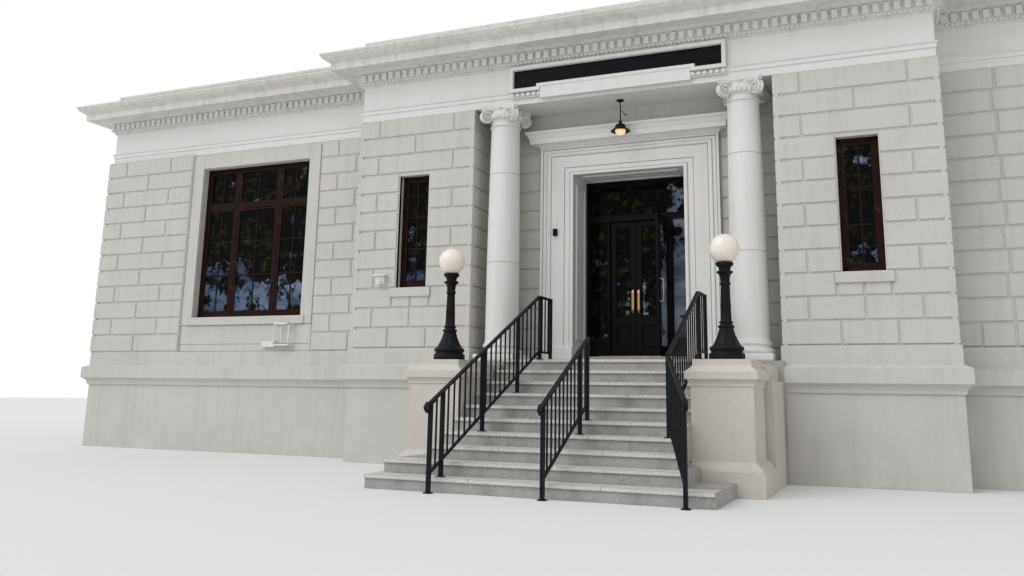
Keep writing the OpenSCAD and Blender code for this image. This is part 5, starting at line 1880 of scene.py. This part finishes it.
@dataclass
class Flight:
    """The flight of steps in slabs, each with a rounded nosing and its own joints."""

    riser: float = 0.165
    tread: float = 0.311
    first_y: float = -3.444
    head_y: float = -0.62
    lap: float = 0.024
    nosing: Point = (0.025, 0.045)
    lift: float = 0.001
    sunk: float = 0.02
    ends: tuple[Point, ...] = (
        (-2.117, 2.117), (-2.04, 1.70), (-1.575, 1.575), (-1.575, 1.575), (-1.575, 1.575),
        (-1.575, 1.575), (-1.575, 1.575), (-1.575, 1.575), (-1.54, 1.54), (-1.575, 1.575))
    splits: tuple[tuple[float, ...], ...] = (
        (-0.72, 0.88), (0.08,), (-0.62, 0.70), (0.42,), (-0.38, 0.86), (0.12,), (-0.55, 0.64), (0.30,),
        (-0.70, 0.50), (0.05,))
    joint: float = 0.003

    def build(self) -> None:
        """Builds every step and the head of the flight, which has its riser in the CAD model."""
        stones, treads, last = [], [], len(self.ends) - 1
        for k, (left, right) in enumerate(self.ends):
            y, z = self.first_y + k * self.tread, k * self.riser
            top = z + self.riser
            back = self.head_y if k == last else y + self.tread + self.lap
            cuts = (left, *self.splits[k], right)
            for low, high in ((a + self.joint / 2, b - self.joint / 2) for a, b in zip(cuts, cuts[1:])):
                if k < last:
                    stones.append(Bench.block((low, y + self.nosing[0] - self.lift, z),
                                              (high, back, top - self.sunk), 0.003, 1))
                treads.append(Bench.block((low, y - self.lift, top - self.nosing[1]),
                                          (high, back, top + self.lift), 0.009, 3))
        Bench.settle(Bench.join(stones), "step_risers", GREY_GRANITE, Slot.GRANITE_GREY)
        # The treads take the paler copy of the granite: painted light on the upward faces.
        Bench.settle(Bench.join(treads), "step_treads", TREAD_GRANITE_LIT_AND_WORN, Slot.GRANITE_GREY)


@dataclass
class Railings:
    """The curled ends that finish the three handrails."""

    foot_y: float = -3.569
    hand_z: float = 1.0287
    feet: tuple[Place, ...] = ((-1.165, -3.9, 0.0), (0.25, 0.0, 0.0), (1.835, 21.5, 0.08))
    half_w: float = 0.027
    half_t: float = 0.017
    chamfer: Point = (0.8, 0.5)
    level: tuple[Place, ...] = (
        (0.060, 0.016, 28.0), (0.025, 0.000, 20.0), (-0.01, -0.008, 8.0), (-0.035, -0.011, 3.0))
    curl_y: float = -0.062
    curl_z: float = -0.012
    curl_r: float = 0.048
    curl_turns: range = range(0, 250, 20)

    def build(self) -> None:
        """Builds a curl at the foot of each handrail."""
        curls = [Bench.move(self.curl(), at(x, self.foot_y, self.hand_z + lift) @ turned(turn))
                 for x, turn, lift in self.feet]
        Bench.settle(Bench.join(curls), "handrail_curls", IRON, Slot.BLACK_IRON, smooth=40)

    def curl(self) -> Object:
        """Makes a flat bar that runs level past the foot post and curls down under itself.

        Returns:
            The curl.
        """
        path, r = [(y, z, math.radians(a)) for y, z, a in self.level], self.curl_r
        path += [(self.curl_y - r * math.sin(a), self.curl_z - r + r * math.cos(a), -a)
                 for a in map(math.radians, self.curl_turns)]
        w, t = self.half_w, self.half_t
        c, e = w * self.chamfer[0], t * self.chamfer[1]
        outline = ((-w, -e), (-w, e), (-c, t), (c, t), (w, e), (w, -e), (c, -t), (-c, -t))
        return Bench.loft([[(u, y - v * math.sin(a), z + v * math.cos(a)) for u, v in outline]
                           for y, z, a in path])


@dataclass
class Fittings:
    """The small things fixed to the front: a wall lamp, a call plate and an outlet bracket."""

    lamp_box: tuple[Place, Place] = ((-4.18, -0.10, 2.93), (-4.02, -0.016, 3.07))
    lamp_hood: tuple[Place, Place] = ((-4.22, -0.15, 3.065), (-3.98, -0.014, 3.095))
    lamp_eye: tuple[Place, Place] = ((-4.10, -0.10, 2.955), (0.042, 0.05, 0.05))
    plate: tuple[Place, Place] = ((-1.272, 0.652, 3.73), (-1.202, 0.700, 3.85))
    lens: tuple[Place, Place] = ((-1.237, 0.652, 3.795), (0.014, 0.008, 0.014))
    bracket_xs: Point = (-6.78, -6.455)
    bracket_zs: Point = (1.98, 2.348)
    bracket_bar: float = 0.022
    bracket_front: float = 0.60
    wall: float = 0.745
    rod: tuple[Place, Place] = ((-6.62, 0.602, 2.0), (-6.603, 0.616, 2.36))
    shelf: tuple[Place, Place] = ((-6.78, 0.59, 1.955), (-6.433, 0.745, 1.985))
    lip: tuple[Place, Place] = ((-6.76, 0.57, 2.345), (-6.46, 0.645, 2.38))
    socket: tuple[Place, Place] = ((-7.09, 0.665, 1.935), (-6.79, 0.745, 2.045))

    def build(self) -> None:
        """Builds the fittings."""
        lamp = [Bench.block(*self.lamp_box, 0.012, 3), Bench.block(*self.lamp_hood, 0.008),
                Bench.ball(*self.lamp_eye, 20, 12)]
        Bench.settle(Bench.join(lamp), "wall_lamp", TRIM, Slot.TRIM, smooth=40)
        call = [Bench.block(*self.plate, 0.006), Bench.ball(*self.lens, 14, 8)]
        Bench.settle(Bench.join(call), "call_plate", BLACK_PAINT, Slot.BLACK_PAINT, smooth=40)
        Bench.settle(self.outlet(), "outlet_bracket", TRIM, Slot.TRIM)

    def outlet(self) -> Object:
        """Makes the open bracket below the left wing window and the socket box beside its foot.

        Returns:
            Both in one piece.
        """
        front, bar, (foot, head) = self.bracket_front, self.bracket_bar, self.bracket_zs
        bars = [Bench.block((x, front, foot), (x + bar, front + bar, head + bar)) for x in self.bracket_xs]
        bars += [Bench.block((x, front, z), (x + bar, self.wall, z + bar))
                 for x in self.bracket_xs for z in self.bracket_zs]
        bars += [Bench.block(*box) for box in (self.rod, self.shelf, self.lip, self.socket)]
        return Bench.bevel(Bench.join(bars), 0.004)


@dataclass
class Studio:
    """The pale floor, the white surroundings and plain soft light."""

    floor_half: float = 90.0
    floor_z: float = -0.002
    floor_tone: float = 0.80
    floor_roughness: float = 0.9
    world_strength: float = 0.72
    sun_strength: float = 1.1
    sun_angle: float = 50.0
    sun_turn: Place = (48.0, 0.0, -38.0)

    def build(self) -> None:
        """Makes the floor, the world and the lamp."""
        bpy.ops.mesh.primitive_plane_add(size=2 * self.floor_half, location=(0, 0, self.floor_z))
        floor = bpy.context.active_object
        floor.name = "floor"
        floor.data.materials.append(self.floor_material())
        bpy.context.scene.world = self.surroundings()
        lamp = bpy.data.lights.new("soft_sun", "SUN")
        lamp.energy = self.sun_strength
        lamp.angle = math.radians(self.sun_angle)
        sun = bpy.data.objects.new("soft_sun", lamp)
        sun.rotation_euler = [math.radians(a) for a in self.sun_turn]
        bpy.context.scene.collection.objects.link(sun)
        bpy.context.scene.view_settings.view_transform = "Standard"

    def surroundings(self) -> bpy.types.World:
        """Makes the world: white to the camera and in reflections, and a plain light otherwise.

        Returns:
            The world.
        """
        world = bpy.data.worlds.new("surroundings")
        world.use_nodes = True
        graph = Graph(world.node_tree)
        rays = graph.add("LightPath").outputs
        seen = graph.times(graph.times(rays["Is Camera Ray"], rays["Is Glossy Ray"], "MAXIMUM"),
                           rays["Is Transmission Ray"], "MAXIMUM")
        background = world.node_tree.nodes["Background"]
        background.inputs["Color"].default_value = (1.0, 1.0, 1.0, 1.0)
        graph.put(background, "Strength", graph.remap(seen, 0.0, 1.0, self.world_strength, 1.0))
        return world

    def floor_material(self) -> bpy.types.Material:
        """Makes the floor's plain matte material.

        Returns:
            The material.
        """
        made = bpy.data.materials.new("pale_floor")
        made.use_nodes = True
        shader = made.node_tree.nodes["Principled BSDF"]
        shader.inputs["Base Color"].default_value = (self.floor_tone, self.floor_tone, self.floor_tone, 1)
        shader.inputs["Roughness"].default_value = self.floor_roughness
        return made


class NodeDresser:
    """Gives the CAD nodes that stay visible their finishes."""

    finishes = {
        Slot.STUCCO: STUCCO, Slot.TRIM: TRIM, Slot.GRANITE_BEIGE: BEIGE_GRANITE,
        Slot.GRANITE_GREY: GREY_GRANITE, Slot.ROOFING: ROOFING, Slot.HALL_FLOOR: TERRAZZO,
        Slot.BLACK_IRON: IRON, Slot.BLACK_PAINT: BLACK_PAINT, Slot.DARK_WOOD: MAHOGANY,
        Slot.OPAL_GLASS: OPAL}

    def __init__(self, frame: dict) -> None:
        """Keeps the frame's nodes and the record's slots."""
        self.nodes = frame["nodes"]
        self.slots = {row["node"]: Slot(row["material_slot"]) for row in frame["record"]["subparts"]}

    def build(self) -> None:
        """Puts a finish on each node."""
        for name, node in self.nodes.items():
            finish = CORNICE if "cornice" in name else self.finishes[self.slots[name]]
            node.data.materials.clear()
            node.data.materials.append(finish.material())


def main() -> None:
    """Builds the scene piece by piece."""
    logging.basicConfig(level=logging.INFO, format="%(name)s %(message)s")
    PhotoCamera().build()
    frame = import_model()
    NodeDresser(frame).build()
    for piece in (Stonework(), Windows(), Entrance(), Column(), Ornament(), GlobeLamp(), HangingLamp(),
                  Flight(), Railings(), Fittings(), Studio()):
        LOG.info("building %s", type(piece).__name__)
        piece.build()


if __name__ == "__main__":
    main()
